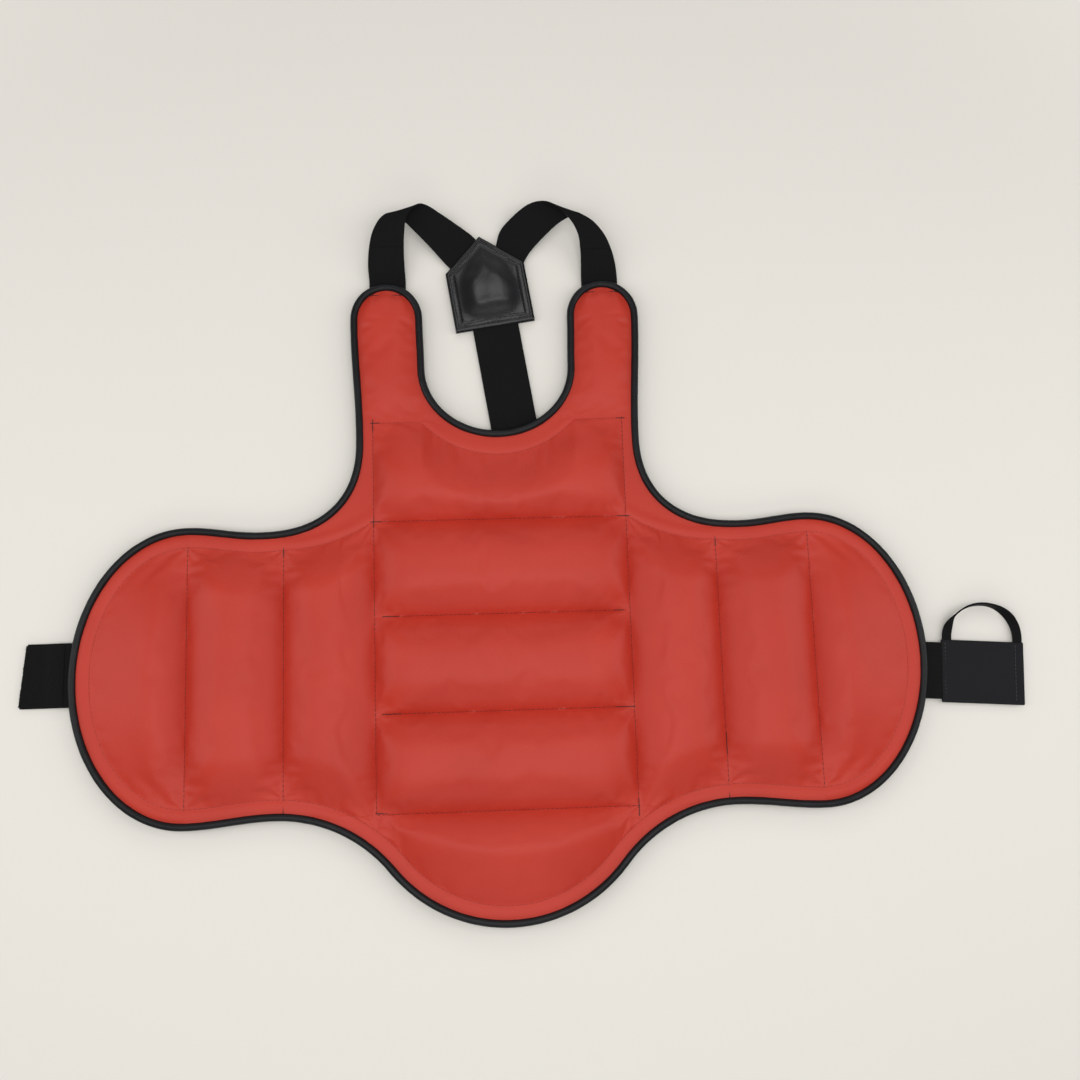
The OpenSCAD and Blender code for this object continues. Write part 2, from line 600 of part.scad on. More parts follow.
// The stem is sewn into the patch over this length and folds this far below it
stem_sewn = 22;
stem_axis = 2.5;
module along_stem() at_patch() rotate([0, 0, -90]) children();
module anchor_stem() color("dimgray") along_stem() translate([stem_axis, 0, 0])
  sewn_end(stem_axis + stem_sewn, patch_z, stem_w);
stem_fall = 25;
module stem() color("dimgray") along_stem()
  strip([[stem_axis + strap_gap, patch_z], [stem_fall, stem_z], [stem_l, stem_z]], stem_w);
module stem_hook_tape() color("gray") along_stem()
  translate([stem_l - stem_tape_l, tape_margin - stem_w / 2, clearance])
    cube([stem_tape_l - tape_margin, stem_w - 2 * tape_margin, stem_tape_t]);

cover_centre();
cover_left_rib();
cover_right_rib();
cover_left_shoulder();
cover_right_shoulder();
lining_centre();
lining_left_rib();
lining_right_rib();
lining_left_shoulder();
lining_right_shoulder();
foam_chest();
foam_row_upper();
foam_row_middle();
foam_row_lower();
foam_left_rib();
foam_right_rib();
foam_left_shoulder();
foam_right_shoulder();
binding_torso();
thread_torso();
anchor_left_arm();
anchor_right_arm();
cover_flap();
lining_flap();
foam_flap();
binding_flap();
cover_left_wing();
lining_left_wing();
foam_left_wing();
binding_left_wing();
thread_left_wing();
cover_left_end();
lining_left_end();
foam_left_end();
binding_left_end();
anchor_left_waist();
cover_right_wing();
lining_right_wing();
foam_right_wing();
binding_right_wing();
thread_right_wing();
cover_right_end();
lining_right_end();
foam_right_end();
binding_right_end();
anchor_right_waist();
arm_left();
arm_right();
patch_front();
patch_back();
anchor_stem();
stem();
stem_hook_tape();
left_waist_strap();
left_loop_tape();
right_elastic();
right_tab();
right_hook_tape();
tab_loop();
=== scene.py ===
"""Looks of a quilted chest protector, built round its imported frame.

The panel lies on its back: the red front faces +Z and the neck is towards +Y. Shapes are worked
out in millimetres and placed in metres.
"""

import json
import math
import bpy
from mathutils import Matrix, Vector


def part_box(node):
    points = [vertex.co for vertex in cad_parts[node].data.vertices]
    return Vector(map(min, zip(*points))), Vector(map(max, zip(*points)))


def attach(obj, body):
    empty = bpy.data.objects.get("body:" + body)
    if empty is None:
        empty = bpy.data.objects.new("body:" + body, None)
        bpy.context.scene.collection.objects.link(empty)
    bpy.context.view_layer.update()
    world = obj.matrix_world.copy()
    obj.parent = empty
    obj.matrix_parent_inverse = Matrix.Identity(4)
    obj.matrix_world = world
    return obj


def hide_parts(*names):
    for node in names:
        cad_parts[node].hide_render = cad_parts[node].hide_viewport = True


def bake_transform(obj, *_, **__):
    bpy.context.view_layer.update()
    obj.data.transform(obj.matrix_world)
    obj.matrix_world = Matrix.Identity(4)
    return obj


bl_info = {
    "name": "Chest Protector",
    "version": (1, 0, 0),
    "blender": (4, 5, 0),
    "location": "View3D > Sidebar > Protector",
    "description": "Dresses the packed frame of a quilted chest protector",
    "category": "Add Mesh",
}

import bpy
from mathutils import Matrix, Vector, noise

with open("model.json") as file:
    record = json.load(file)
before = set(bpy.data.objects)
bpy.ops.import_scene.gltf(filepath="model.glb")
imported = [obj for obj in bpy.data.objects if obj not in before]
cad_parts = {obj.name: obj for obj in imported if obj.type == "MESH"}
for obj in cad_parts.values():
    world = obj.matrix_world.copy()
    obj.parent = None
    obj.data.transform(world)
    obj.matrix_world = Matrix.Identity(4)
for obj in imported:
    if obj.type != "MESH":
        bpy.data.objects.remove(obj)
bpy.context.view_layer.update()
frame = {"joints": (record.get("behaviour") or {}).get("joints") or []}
MM = 0.001
SIDES = ((-1, "left"), (1, "right"))
JOINTS = {joint["name"]: joint for joint in frame["joints"]}


def joint_place(name):
    """A joint's place in millimetres."""
    return Vector(JOINTS[name]["pos_m"]) / MM


def node_low(name):
    """A CAD node's lowest corner in millimetres."""
    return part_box(name)[0] / MM


def node_high(name):
    """A CAD node's highest corner in millimetres."""
    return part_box(name)[1] / MM


# The panel's outline, from the frame where it says and otherwise as the part's source gives it
SEAM_Z = joint_place("flap_fold").z
ROW_TOP = -joint_place("flap_fold").y
ROW_H = ROW_TOP * 2 / 3
HALF_W = node_high("cover_centre").x
WING_X = joint_place("right_wing_fold").x
END_X = joint_place("right_end_fold").x
EDGE_X = node_high("binding_right_end").x
FLAP_Y = node_low("binding_flap").y
TIP_TOP = node_high("binding_torso").y
WING_Y = (node_low("binding_right_end").y + node_high("binding_right_end").y) / 2
WING_H = node_high("binding_right_end").y - node_low("binding_right_end").y
CHEST_Y = 195.0
WAIST_DIP = 5.0
WAIST_TOP = WING_Y + WING_H / 2 - WAIST_DIP
WAIST_BOTTOM = WING_Y - WING_H / 2 + WAIST_DIP
FLAP_R = 118.0
FLAP_FILLET_R = 112.0
ROUNDS_R = FLAP_R + FLAP_FILLET_R
FILLET_X = math.sqrt(ROUNDS_R ** 2 - (ROUNDS_R + FLAP_Y - WAIST_BOTTOM) ** 2)
ARMHOLE_X = HALF_W + 13.5
ARMHOLE_W = 77.5
ARMHOLE_H = 73.5
ARMHOLE_POWER = 2.4
VALLEY_X = ARMHOLE_X + ARMHOLE_W
ARMHOLE_Y = WAIST_TOP + ARMHOLE_H
SHOULDER_W = 59.0
SHOULDER_LEAN = 4.0
TIP_L = 30.0
TIP_Y = TIP_TOP - TIP_L
TIP_X = ARMHOLE_X + SHOULDER_LEAN - SHOULDER_W / 2
NECK_HALF_W = 58.5
NECK_DEPTH = 53.0
NECK_Y = CHEST_Y - 8 + NECK_DEPTH
NECK_BORDER = 20.0
# Distance from the outer edge to the perimeter stitch, and how far the layers run under the binding
BORDER_W = 16.0
UNDER = 3.0
# The flap's fold runs across the ribs' lower borders to here
FLAP_END = FILLET_X - math.sqrt(
    (FLAP_FILLET_R + UNDER) ** 2 - (FLAP_FILLET_R - ROW_TOP - WAIST_BOTTOM) ** 2)
# The zone beside the flap's fold lies between these heights, and that beside a wing's or its end's fold
# between these distances from it
FLAP_BEND = (-ROW_TOP - 1, -ROW_TOP - 23)
WING_BEND = (0.2, 6.0)
# The wings' bindings begin at the first of these and the ends' bindings at the second; the last is a
# reach on each side of a fold that is handed to bend, which doesn't use it
EDGE_SPLIT = 150.0
END_SPLIT = (WING_X + END_X) / 2
BINDING_BEND = 7
# Distance of the foam from a seam and from the perimeter stitch
FOAM_INSET = 8
FOAM_EDGE = 10
SHOULDER_CROWN = 5 * MM
# Distance from the shoulder's edge to where its padding starts
SHOULDER_RIM = 7

# Straps, as the part's source places them
ARM_AXIS = joint_place("back_strap_swing")
ARM_X = TIP_X - 1
PATCH_AT = Vector((0.5, ARM_AXIS.y - 39.5, 0))
PATCH_TURN = math.radians(8.7)
PATCH_W = 66.0
PATCH_SIDE = 51.0
PATCH_POINT = 28.0
PATCH_SLOPE = math.hypot(PATCH_W / 2, PATCH_POINT)
# Distance of the two rows of stitches from the patch's edge
PATCH_ROWS = (3.6, 5.6)
LEATHER_T = 1.5
STEM_W = 38.0
WAIST_W = 50.0
WEBBING_T = 1.7
RIGHT_WAIST_W = 45.0
# How far the waist straps run in behind the wings' bindings
WAIST_SEWN = 17.5
ARM_LOW = joint_place("stem_fold").z - ARM_AXIS.z
LEFT_ARM_EDGES = (
    ((-15, -30, 0), (15, -30, 0)),
    ((-15, -8, 0), (15, -8, 0)),
    ((-15, 1.2, 0), (15, 1.2, 0)),
    ((-15.5, 13, 4.5), (14.5, 13, 4.5)),
    ((-14, 27, 9.5), (14.5, 27, 9.5)),
    ((-10, 40, 14.5), (15.5, 39, 14)),
    ((-2.5, 50, 17.5), (18, 50.5, 17.5)),
    ((6, 53, 15.5), (26.5, 60, 16.5)),
    ((14, 50, 9.5), (34.5, 62, 11.5)),
    ((22.5, 43, 5.5), (44.5, 57, 7)),
    ((35, 30.5, 2), (58, 48.5, 3)),
    ((48, 16, ARM_LOW), (72, 38.5, ARM_LOW)),
    ((60, 3, ARM_LOW), (81, 25, ARM_LOW)),
)
RIGHT_ARM_EDGES = (
    ((15, -30, 0), (-15, -30, 0)),
    ((15, -8, 0), (-15, -8, 0)),
    ((15, 1.2, 0), (-15, 1.2, 0)),
    ((13.5, 12, 4.5), (-15, 12, 4.5)),
    ((10, 23, 9.5), (-15.5, 23, 9.5)),
    ((4, 34, 14.5), (-17.5, 34.5, 14)),
    ((-6, 44.5, 17.5), (-24.5, 46.5, 17.5)),
    ((-18.5, 51, 17), (-37, 58, 17.5)),
    ((-25, 50, 11), (-47, 63, 14.5)),
    ((-35, 45, 6.5), (-58, 62, 10.5)),
    ((-47.5, 34.5, 2.5), (-70.5, 54, 5.5)),
    ((-58.5, 23, ARM_LOW), (-81.5, 43.5, ARM_LOW)),
    ((-66, 8, ARM_LOW), (-86, 27, ARM_LOW)),
)
# The arms' sewn roots end at this station
ARM_ROOT = 4

# The photograph's camera, fitted to the panel's outline
CAMERA_PLACE = Vector((-9.5, -50.1, 915.4))
CAMERA_RIGHT = Vector((0.99868, -0.03294, 0.0395))
CAMERA_UP = Vector((0.02622, 0.98676, 0.16005))
CAMERA_BACK = Vector((-0.04425, -0.15881, 0.98632))
CAMERA_LENS = 38.33
# The lamps' common target, in metres
LAMP_TARGET = Vector((0, 0.05, 0))


def linear(code):
    """An sRGB hex colour as linear red, green, blue and alpha."""
    channels = [int(code[i:i + 2], 16) / 255 for i in (0, 2, 4)]
    return [c / 12.92 if c <= 0.04045 else ((c + 0.055) / 1.055) ** 2.4 for c in channels] + [1.0]


def length_prop(label, note, millimetres):
    return bpy.props.FloatProperty(
        name=label, description=note, default=millimetres * MM, unit="LENGTH", subtype="DISTANCE")


def colour_prop(label, note, code):
    return bpy.props.FloatVectorProperty(
        name=label, description=note, default=linear(code), size=4, subtype="COLOR", min=0, max=1)


class ProtectorSizes(bpy.types.PropertyGroup):
    """Sizes of the padding and the sewing"""
    front_crown: length_prop("Front crown", "Rise of a pad's front above its seams", 14.6)
    back_crown: length_prop("Back crown", "Depth of a pad's back below its seams", 9.0)
    crown_run: length_prop("Crown run", "Distance from a seam over which a pad swells", 38.0)
    border_puff: length_prop("Border puff", "Rise of the border outside the perimeter stitch", 1.0)
    settle_cap: length_prop("Settling", "Furthest that a cover moves in the cloth simulation", 1.6)
    seam_rise: length_prop("Seam rise", "Height of the cover's face over the seam line", 0.6)
    pucker: length_prop("Pucker", "Height of the small gathers beside a seam", 0.5)
    corner_fold: length_prop("Corner fold", "Height of the folds that run from a pad's corner", 0.8)
    cover_t: length_prop("Cover", "Thickness of the red cover", 0.6)
    lining_t: length_prop("Lining", "Thickness of the back lining", 0.5)
    binding_w: length_prop("Binding width", "Width of the edge binding", 6.0)
    binding_t: length_prop("Binding thickness", "Thickness of the edge binding", 7.2)
    stitch_l: length_prop("Stitch", "Length of one stitch", 3.3)
    stitch_pitch: length_prop("Stitch pitch", "Distance from one stitch to the next", 3.7)
    thread_d: length_prop("Thread", "Thickness of the thread", 0.65)


class ProtectorColours(bpy.types.PropertyGroup):
    """Colours of the finishes"""
    vinyl: colour_prop("Vinyl", "Red coated vinyl of the front", "C53A2A")
    vinyl_deep: colour_prop("Vinyl, deep", "Deeper patches of the red vinyl", "B43021")
    binding: colour_prop("Binding", "Black vinyl tape round the edge", "0E0F10")
    lining: colour_prop("Lining", "Black woven nylon of the back", "232428")
    foam: colour_prop("Foam", "Closed-cell foam", "D9D4C4")
    elastic: colour_prop("Elastic", "Black woven elastic", "0A0A0B")
    leather: colour_prop("Leather", "Black leather of the patch", "0B0B0C")
    nylon: colour_prop("Nylon", "Black nylon of the closing tab", "121215")
    # This seam thread's colour is darkened with painted shade of the creases it lies in
    thread: colour_prop("Thread", "Thread sunk in the quilting seams", "5C1711")
    edge_thread: colour_prop("Edge thread", "Thread of the row along the edge", "8A261B")
    tack: colour_prop("Bar tack", "Black thread of the bar tacks", "120C0C")
    floor: colour_prop("Floor", "Pale floor", "E8E4DC")


def sizes():
    return bpy.context.scene.protector_sizes


def colours():
    return bpy.context.scene.protector_colours


def mix(a, b, t):
    return a + (b - a) * t


def clamp(t):
    return min(1.0, max(0.0, t))


def ease(t):
    return (1 - math.cos(math.pi * clamp(t))) / 2


def swell(distance):
    """How full a pad is at a distance from its seam, from 0 to 1."""
    return 1 - (1 - clamp(distance * MM / sizes().crown_run)) ** 3


def taper(distance, run=1.0):
    """How full a pad is at a distance from the perimeter stitch, where its foam is thinned."""
    t = clamp(distance * MM / sizes().crown_run / run)
    return (1 - (1 - t) ** 2 + ease(t)) / 2


def arc(share, height):
    return height * math.sqrt(max(0.0, 1 - share * share))


def armhole_edge_y(x, e):
    share = min(1.0, (VALLEY_X - x) / (ARMHOLE_W + e))
    return ARMHOLE_Y - (ARMHOLE_H + e) * (1 - share ** ARMHOLE_POWER) ** (1 / ARMHOLE_POWER)


def armhole_edge_x(y, e):
    share = min(1.0, (ARMHOLE_Y - y) / (ARMHOLE_H + e))
    return VALLEY_X - (ARMHOLE_W + e) * (1 - share ** ARMHOLE_POWER) ** (1 / ARMHOLE_POWER)


def upper_y(x, e):
    """The panel's upper edge at x > 0, drawn in by e."""
    if x <= ARMHOLE_X - e:
        return CHEST_Y
    if x < VALLEY_X:
        return armhole_edge_y(x, e)
    return WAIST_TOP - e + WAIST_DIP * ease((x - VALLEY_X) / (END_X - VALLEY_X))


def lower_y(x, e):
    """The panel's lower edge at x > 0, drawn in by e."""
    if x < FILLET_X * (FLAP_R - e) / (FLAP_R + FLAP_FILLET_R):
        return FLAP_Y + FLAP_R - math.sqrt((FLAP_R - e) ** 2 - x * x)
    if x < FILLET_X:
        return WAIST_BOTTOM - FLAP_FILLET_R + math.sqrt((FLAP_FILLET_R + e) ** 2 - (FILLET_X - x) ** 2)
    return WAIST_BOTTOM + e - WAIST_DIP * ease((x - FILLET_X) / (END_X - FILLET_X))


def shoulder_outer_x(y, e):
    return ARMHOLE_X - e + SHOULDER_LEAN * ease((y - ARMHOLE_Y) / (TIP_Y - ARMHOLE_Y))


def shoulder_inner_x(y, e):
    if y < NECK_Y:
        return arc((NECK_Y - y) / (NECK_DEPTH + e), NECK_HALF_W + e)
    return mix(NECK_HALF_W, TIP_X - SHOULDER_W / 2, ease((y - NECK_Y) / (TIP_Y - NECK_Y))) + e


def neck_edge_y(x, e):
    return NECK_Y - arc(min(1.0, abs(x) / (NECK_HALF_W + e)), NECK_DEPTH + e)


def chest_top(x):
    return min(CHEST_Y, neck_edge_y(x, NECK_BORDER))


def chest_edge(x):
    return max(chest_top(x), min(CHEST_Y, neck_edge_y(x, UNDER)))


def rib_low(x):
    return max(-ROW_TOP, lower_y(x, BORDER_W))


def rib_high(x):
    y = upper_y(WING_X, BORDER_W)
    return y + (ROW_TOP - y) * max(0.0, 1 - (x - HALF_W) / (WING_X - HALF_W)) ** 2


def crowd(t):
    """Points crowd towards both ends of a lane, where the seams are."""
    return t - 0.1 * math.sin(2 * math.pi * t)


def lane(share, edges, counts):
    """The value at a share of all the counts, which lie between neighbouring edges."""
    step = round(share * sum(counts))
    for i, count in enumerate(counts):
        if step <= count:
            return mix(edges[i], edges[i + 1], crowd(step / count))
        step -= count
    return edges[-1]


class Cell:
    """One quilted piece of the panel, for x > 0 or about x = 0.

    place(u, v, under) gives x and y; gaps(x, y) the distances to the seams across and along."""

    def __init__(self, across, along, place, gaps, depth, crown=None, fullness=None):
        self.across = across
        self.along = along
        self.place = place
        self.gaps = gaps
        self.depth = depth
        self.crown = crown
        self.fullness = fullness or (lambda x, y: swell(gaps(x, y)[0]) * taper(gaps(x, y)[1]))

    def front_z(self, x, y):
        crown = (self.crown or sizes().front_crown) / MM
        full = self.fullness(x, y)
        z = SEAM_Z + sizes().seam_rise / MM + crown * full + relief(x, y, full, self.gaps(x, y))
        return max(z, self.back_z(x, y) + sizes().cover_t / MM + 0.1)

    def back_z(self, x, y):
        return SEAM_Z - 0.2 - min(self.depth, sizes().back_crown / MM * self.fullness(x, y))


# Length, width and reach of the gathers beside a seam, and reach and number of a corner's folds
GATHER_L = 26
GATHER_W = 6
GATHER_REACH = 8
CORNER_REACH = 26
CORNER_FOLDS = 6.5
# Size and height of a pad's unevenness, and the distance over which a seam holds the cover flat
UNEVEN_L = 55
UNEVEN_H = 0.4
HELD_L = 1.5


def relief(x, y, full, gaps):
    """Small gathers beside the seams, folds from the corners, and a gentle unevenness."""
    across, along = (max(0.0, gap) for gap in gaps)
    pucker = sizes().pucker / MM
    fold = sizes().corner_fold / MM
    held = 1 - math.exp(-min(across, along) / HELD_L)
    gathers = (math.exp(-across / GATHER_REACH) * noise.noise((x / GATHER_L, y / GATHER_W, 3))
               + math.exp(-along / GATHER_REACH) * noise.noise((x / GATHER_W, y / GATHER_L, 9)))
    reach = math.hypot(across, along)
    phase = 4 * noise.noise((x / 150, y / 90, 7))
    turn = CORNER_FOLDS * math.atan2(along, across)
    corner = math.exp(-reach / CORNER_REACH) * math.cos(turn + phase)
    uneven = UNEVEN_H * full * noise.noise((x / UNEVEN_L, y / UNEVEN_L, 5))
    border = math.sin(math.pi * clamp(-gaps[1] / (BORDER_W - sizes().binding_w / MM)))
    return held * (pucker * gathers + fold * corner) + uneven + sizes().border_puff / MM * border


def centre_rows(x):
    return (-ROW_TOP, -ROW_TOP + ROW_H, ROW_TOP - ROW_H, ROW_TOP, chest_top(x), chest_edge(x))


def centre_place(u, v, under):
    x = mix(-HALF_W, HALF_W, u)
    return x, lane(v, centre_rows(x), (34, 34, 34, 36, 6))


def centre_gaps(x, y):
    if y > ROW_TOP:
        return HALF_W - abs(x), min(y - ROW_TOP, chest_top(x) - y)
    row = min(2, int((y + ROW_TOP) / ROW_H))
    low = -ROW_TOP + row * ROW_H
    return HALF_W - abs(x), min(y - low, low + ROW_H - y)


def centre_fullness(x, y):
    across, along = centre_gaps(x, y)
    if y > ROW_TOP:
        return swell(across) * swell(y - ROW_TOP) * taper(chest_top(x) - y, 1.2)
    return swell(across) * swell(along)


def rib_place(u, v, under):
    x = lane(u, (HALF_W, HALF_W + 24, WING_X), (22, 24))
    low = max(-ROW_TOP, lower_y(x, under))
    return x, lane(v, (low, rib_low(x), rib_high(x), upper_y(x, under)), (3, 80, 14))


def rib_gaps(x, y):
    return min(x - HALF_W, WING_X - x), min(y - lower_y(x, BORDER_W), rib_high(x) - y)


def wing_place(u, v, under):
    x = lane(u, (WING_X, END_X), (34,))
    edges = (lower_y(x, under), lower_y(x, BORDER_W), upper_y(x, BORDER_W), upper_y(x, under))
    return x, lane(v, edges, (5, 86, 5))


def wing_gaps(x, y):
    return min(x - WING_X, END_X - x), min(y - lower_y(x, BORDER_W), upper_y(x, BORDER_W) - y)


def end_place(u, v, under):
    angle = math.pi * (v - 0.5)
    full = EDGE_X - END_X
    rim = (full - BORDER_W) / (full - under)
    share = lane(u, (0, rim, 1), (34, 5))
    x = END_X + share * (full - under) * math.cos(angle)
    return x, WING_Y + (WING_H / 2 - under) * math.sin(angle)


def end_gaps(x, y):
    wide = EDGE_X - END_X - BORDER_W
    high = WING_H / 2 - BORDER_W
    ring = max(0.001, math.hypot((x - END_X) / wide, (y - WING_Y) / high))
    slope = math.hypot((x - END_X) / wide ** 2, (y - WING_Y) / high ** 2) / ring
    return x - END_X, (1 - ring) / max(slope, 1 / high)


def end_fullness(x, y):
    across, along = end_gaps(x, y)
    return swell(across) * taper(along, 1.7)


def flap_place(u, v, under):
    x = lane(u, (-FLAP_END, -HALF_W, HALF_W, FLAP_END), (16, 84, 16))
    low = min(-ROW_TOP, lower_y(abs(x), BORDER_W))
    return x, lane(v, (min(low, lower_y(abs(x), under)), low, -ROW_TOP), (5, 36))


def flap_gaps(x, y):
    edge = y - lower_y(abs(x), BORDER_W)
    if abs(x) > HALF_W:
        return abs(x) - HALF_W, edge
    return 2 * (HALF_W - abs(x)), min(edge, -ROW_TOP - y)


def flap_fullness(x, y):
    across, along = flap_gaps(x, y)
    if abs(x) > HALF_W:
        return swell(across) * taper(along)
    return swell(across) * swell(-ROW_TOP - y) * taper(y - lower_y(abs(x), BORDER_W), 1.4)


def shoulder_place(u, v, under):
    rows = lane(v, (0, 1, 2), (44, 16))
    if rows <= 1:
        y = mix(CHEST_Y, TIP_Y, rows)
        return mix(shoulder_inner_x(y, under), shoulder_outer_x(y, under), u), y
    turn = (rows - 1) * math.pi / 2
    half = (SHOULDER_W / 2 - under) * math.cos(turn)
    return TIP_X + half * (2 * u - 1), TIP_Y + (TIP_L - under) * math.sin(turn)


def shoulder_gaps(x, y):
    along = TIP_TOP - SHOULDER_RIM - y
    if y <= TIP_Y:
        inner = shoulder_inner_x(y, SHOULDER_RIM)
        return min(x - inner, shoulder_outer_x(y, SHOULDER_RIM) - x), along
    half = arc((y - TIP_Y) / (TIP_L - SHOULDER_RIM), SHOULDER_W / 2 - SHOULDER_RIM)
    return half - abs(x - TIP_X), along


def shoulder_fullness(x, y):
    across, along = shoulder_gaps(x, y)
    return swell(2 * across) * swell(2 * along) * ease((y - CHEST_Y) / 45)


# The back lies flat on the floor, and the rows' back leaves room for the stem
FLOOR_DEPTH = SEAM_Z - 0.2
ROW_DEPTH = SEAM_Z - 0.2 - node_low("lining_centre").z
CENTRE = Cell(92, 144, centre_place, centre_gaps, ROW_DEPTH, None, centre_fullness)
RIB = Cell(46, 97, rib_place, rib_gaps, FLOOR_DEPTH)
WING = Cell(34, 96, wing_place, wing_gaps, FLOOR_DEPTH)
END = Cell(39, 100, end_place, end_gaps, FLOOR_DEPTH, None, end_fullness)
FLAP = Cell(116, 41, flap_place, flap_gaps, FLOOR_DEPTH, None, flap_fullness)
SHOULDER = Cell(30, 60, shoulder_place, shoulder_gaps, 2.0, SHOULDER_CROWN, shoulder_fullness)
# Name, cell, side of the panel and body of every quilted piece
QUILTED = [("centre", CENTRE, 1, "torso"), ("flap", FLAP, 1, "flap")]
for side, word in SIDES:
    QUILTED += [
        (word + "_rib", RIB, side, "torso"), (word + "_shoulder", SHOULDER, side, "torso"),
        (word + "_wing", WING, side, word + "_wing"), (word + "_end", END, side, word + "_wing_end"),
    ]


def activate(piece):
    bpy.ops.object.select_all(action="DESELECT")
    piece.select_set(True)
    bpy.context.view_layer.objects.active = piece


def grid_piece(name, across, along, place, flat=None):
    """A grid primitive whose points go to place(u, v) in millimetres, with u and v from 0 to 1.

    flat is the cloth's own width and length, for patterns that follow the piece."""
    bpy.ops.object.select_all(action="DESELECT")
    bpy.ops.mesh.primitive_grid_add(x_subdivisions=across, y_subdivisions=along, size=1)
    piece = bpy.context.object
    piece.name = name
    piece.data.name = name
    for point in piece.data.vertices:
        point.co = Vector(place(point.co.x + 0.5, point.co.y + 0.5)) * MM
    if flat:
        for corner in piece.data.uv_layers.active.data:
            corner.uv = (corner.uv.x * flat[0] * MM, corner.uv.y * flat[1] * MM)
    return piece


def weld(piece):
    """Merges a piece's doubled points."""
    activate(piece)
    bpy.ops.object.mode_set(mode="EDIT")
    bpy.ops.mesh.select_all(action="SELECT")
    bpy.ops.mesh.remove_doubles(threshold=0.02 * MM)
    bpy.ops.mesh.dissolve_degenerate(threshold=0.01 * MM)
    bpy.ops.object.mode_set(mode="OBJECT")


def modify(piece, kind, **settings):
    """Adds a modifier with its settings and applies it."""
    activate(piece)
    bpy.ops.object.modifier_add(type=kind)
    modifier = piece.modifiers[-1]
    for name, value in settings.items():
        setattr(modifier, name, value)
    bpy.ops.object.modifier_apply(modifier=modifier.name)


def smooth(piece, degrees=50):
    activate(piece)
    bpy.ops.object.shade_smooth_by_angle(angle=math.radians(degrees))


def joined(pieces, name):
    """Several pieces as one object."""
    bpy.ops.object.select_all(action="DESELECT")
    for piece in pieces:
        piece.select_set(True)
    bpy.context.view_layer.objects.active = pieces[0]
    if len(pieces) > 1:
        bpy.ops.object.join()
    pieces[0].name = name
    pieces[0].data.name = name
    return pieces[0]


def dress(piece, material, nodes=()):
    """Gives a piece its finish and hides the CAD nodes that it stands for."""
    piece.data.materials.clear()
    piece.data.materials.append(material)
    if nodes:
        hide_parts(*nodes)
    return piece


def bend(piece, first, second, start, end):
    """Bakes a piece's place into its points, where it stays; first, second, start and end are not used.
    """
    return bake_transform(piece, first, second, start=Vector(start) * MM, end=Vector(end) * MM)


def fold_of(body):
    """The body before a body's fold and the bend's start and end, or None for the torso."""
    side = -1 if body.startswith("left") else 1
    if body == "flap":
        return "torso", [Vector((0, y, SEAM_Z)) for y in FLAP_BEND]
    if body.endswith("wing"):
        return "torso", [Vector((side * (WING_X + reach), 0, SEAM_Z)) for reach in WING_BEND]
    if body.endswith("wing_end"):
        return body[:-4], [Vector((side * (END_X + reach), 0, SEAM_Z)) for reach in WING_BEND]
    return None


def carry(piece, body):
    """A piece that reaches into the zone beside its body's fold is baked where it stands and rides on no
    body.

    Any other piece rides on its body."""
    fold = fold_of(body)
    if fold:
        before, (start, end) = fold
        if any((point.co / MM - end).dot(end - start) < 0 for point in piece.data.vertices):
            bend(piece, before, body, start, end)
            return
    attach(piece, body)


def add_node(tree, kind, values=None, links=None, **settings):
    """One shader node with its settings, its inputs' values, and the outputs that feed its inputs."""
    made = tree.nodes.new("ShaderNode" + kind)
    for name, value in settings.items():
        setattr(made, name, value)
    for name, value in (values or {}).items():
        made.inputs[name].default_value = value
    for name, source in (links or {}).items():
        tree.links.new(source, made.inputs[name])
    return made


def per_metre(millimetres):
    """A texture's scale for a pattern of this size."""
    return 1 / (millimetres * MM)


class Finish:
    """A material with its tree, its shader and the coordinates that its patterns follow.

    The sockets are set on the shader itself."""

    def __init__(self, name, coords="Object", **sockets):
        self.material = bpy.data.materials.new(name)
        self.material.use_nodes = True
        self.tree = self.material.node_tree
        self.shader = self.tree.nodes["Principled BSDF"]
        self.coords = coords
        for socket, value in sockets.items():
            label = socket.replace("_", " ").title().replace("Ior", "IOR")
            self.shader.inputs[label].default_value = value

    def pattern(self, kind, output, values, **settings):
        """One output of a texture."""
        place = add_node(self.tree, "TexCoord").outputs[self.coords]
        return add_node(self.tree, "Tex" + kind, values, {"Vector": place}, **settings).outputs[output]

    def clouds(self, millimetres, **values):
        return self.pattern("Noise", "Fac", {"Scale": per_metre(millimetres), **values})

    def cells(self, millimetres, **settings):
        return self.pattern("Voronoi", "Distance", {"Scale": per_metre(millimetres)}, **settings)

    def bands(self, millimetres, direction, distortion):
        scale = math.pi / 10 * per_metre(millimetres)
        values = {"Scale": scale, "Distortion": distortion}
        return self.pattern("Wave", "Fac", values, bands_direction=direction)

    def toned(self, low, high, share):
        """The colour runs from low to high with a pattern."""
        tone = add_node(self.tree, "MixRGB", {"Color1": low, "Color2": high}, {"Fac": share})
        self.tree.links.new(tone.outputs["Color"], self.shader.inputs["Base Color"])

    def bumped(self, height, strength, depth):
        """The surface rises with a pattern; its depth is in millimetres."""
        values = {"Strength": strength, "Distance": depth * MM}
        bump = add_node(self.tree, "Bump", values, {"Height": height})
        self.tree.links.new(bump.outputs["Normal"], self.shader.inputs["Normal"])


def coated_vinyl():
    """Coated vinyl, calendered with a fine leather grain: satin, slightly uneven in tone."""
    made = Finish("coated_vinyl", roughness=0.48, specular_ior_level=0.3)
    made.toned(colours().vinyl_deep, colours().vinyl, made.clouds(45, Detail=5))
    # The real grain of 0.5 mm is too fine to show, so it is drawn at 1.3 mm
    made.bumped(made.cells(1.3, feature="SMOOTH_F1"), 0.4, 0.15)
    return made.material


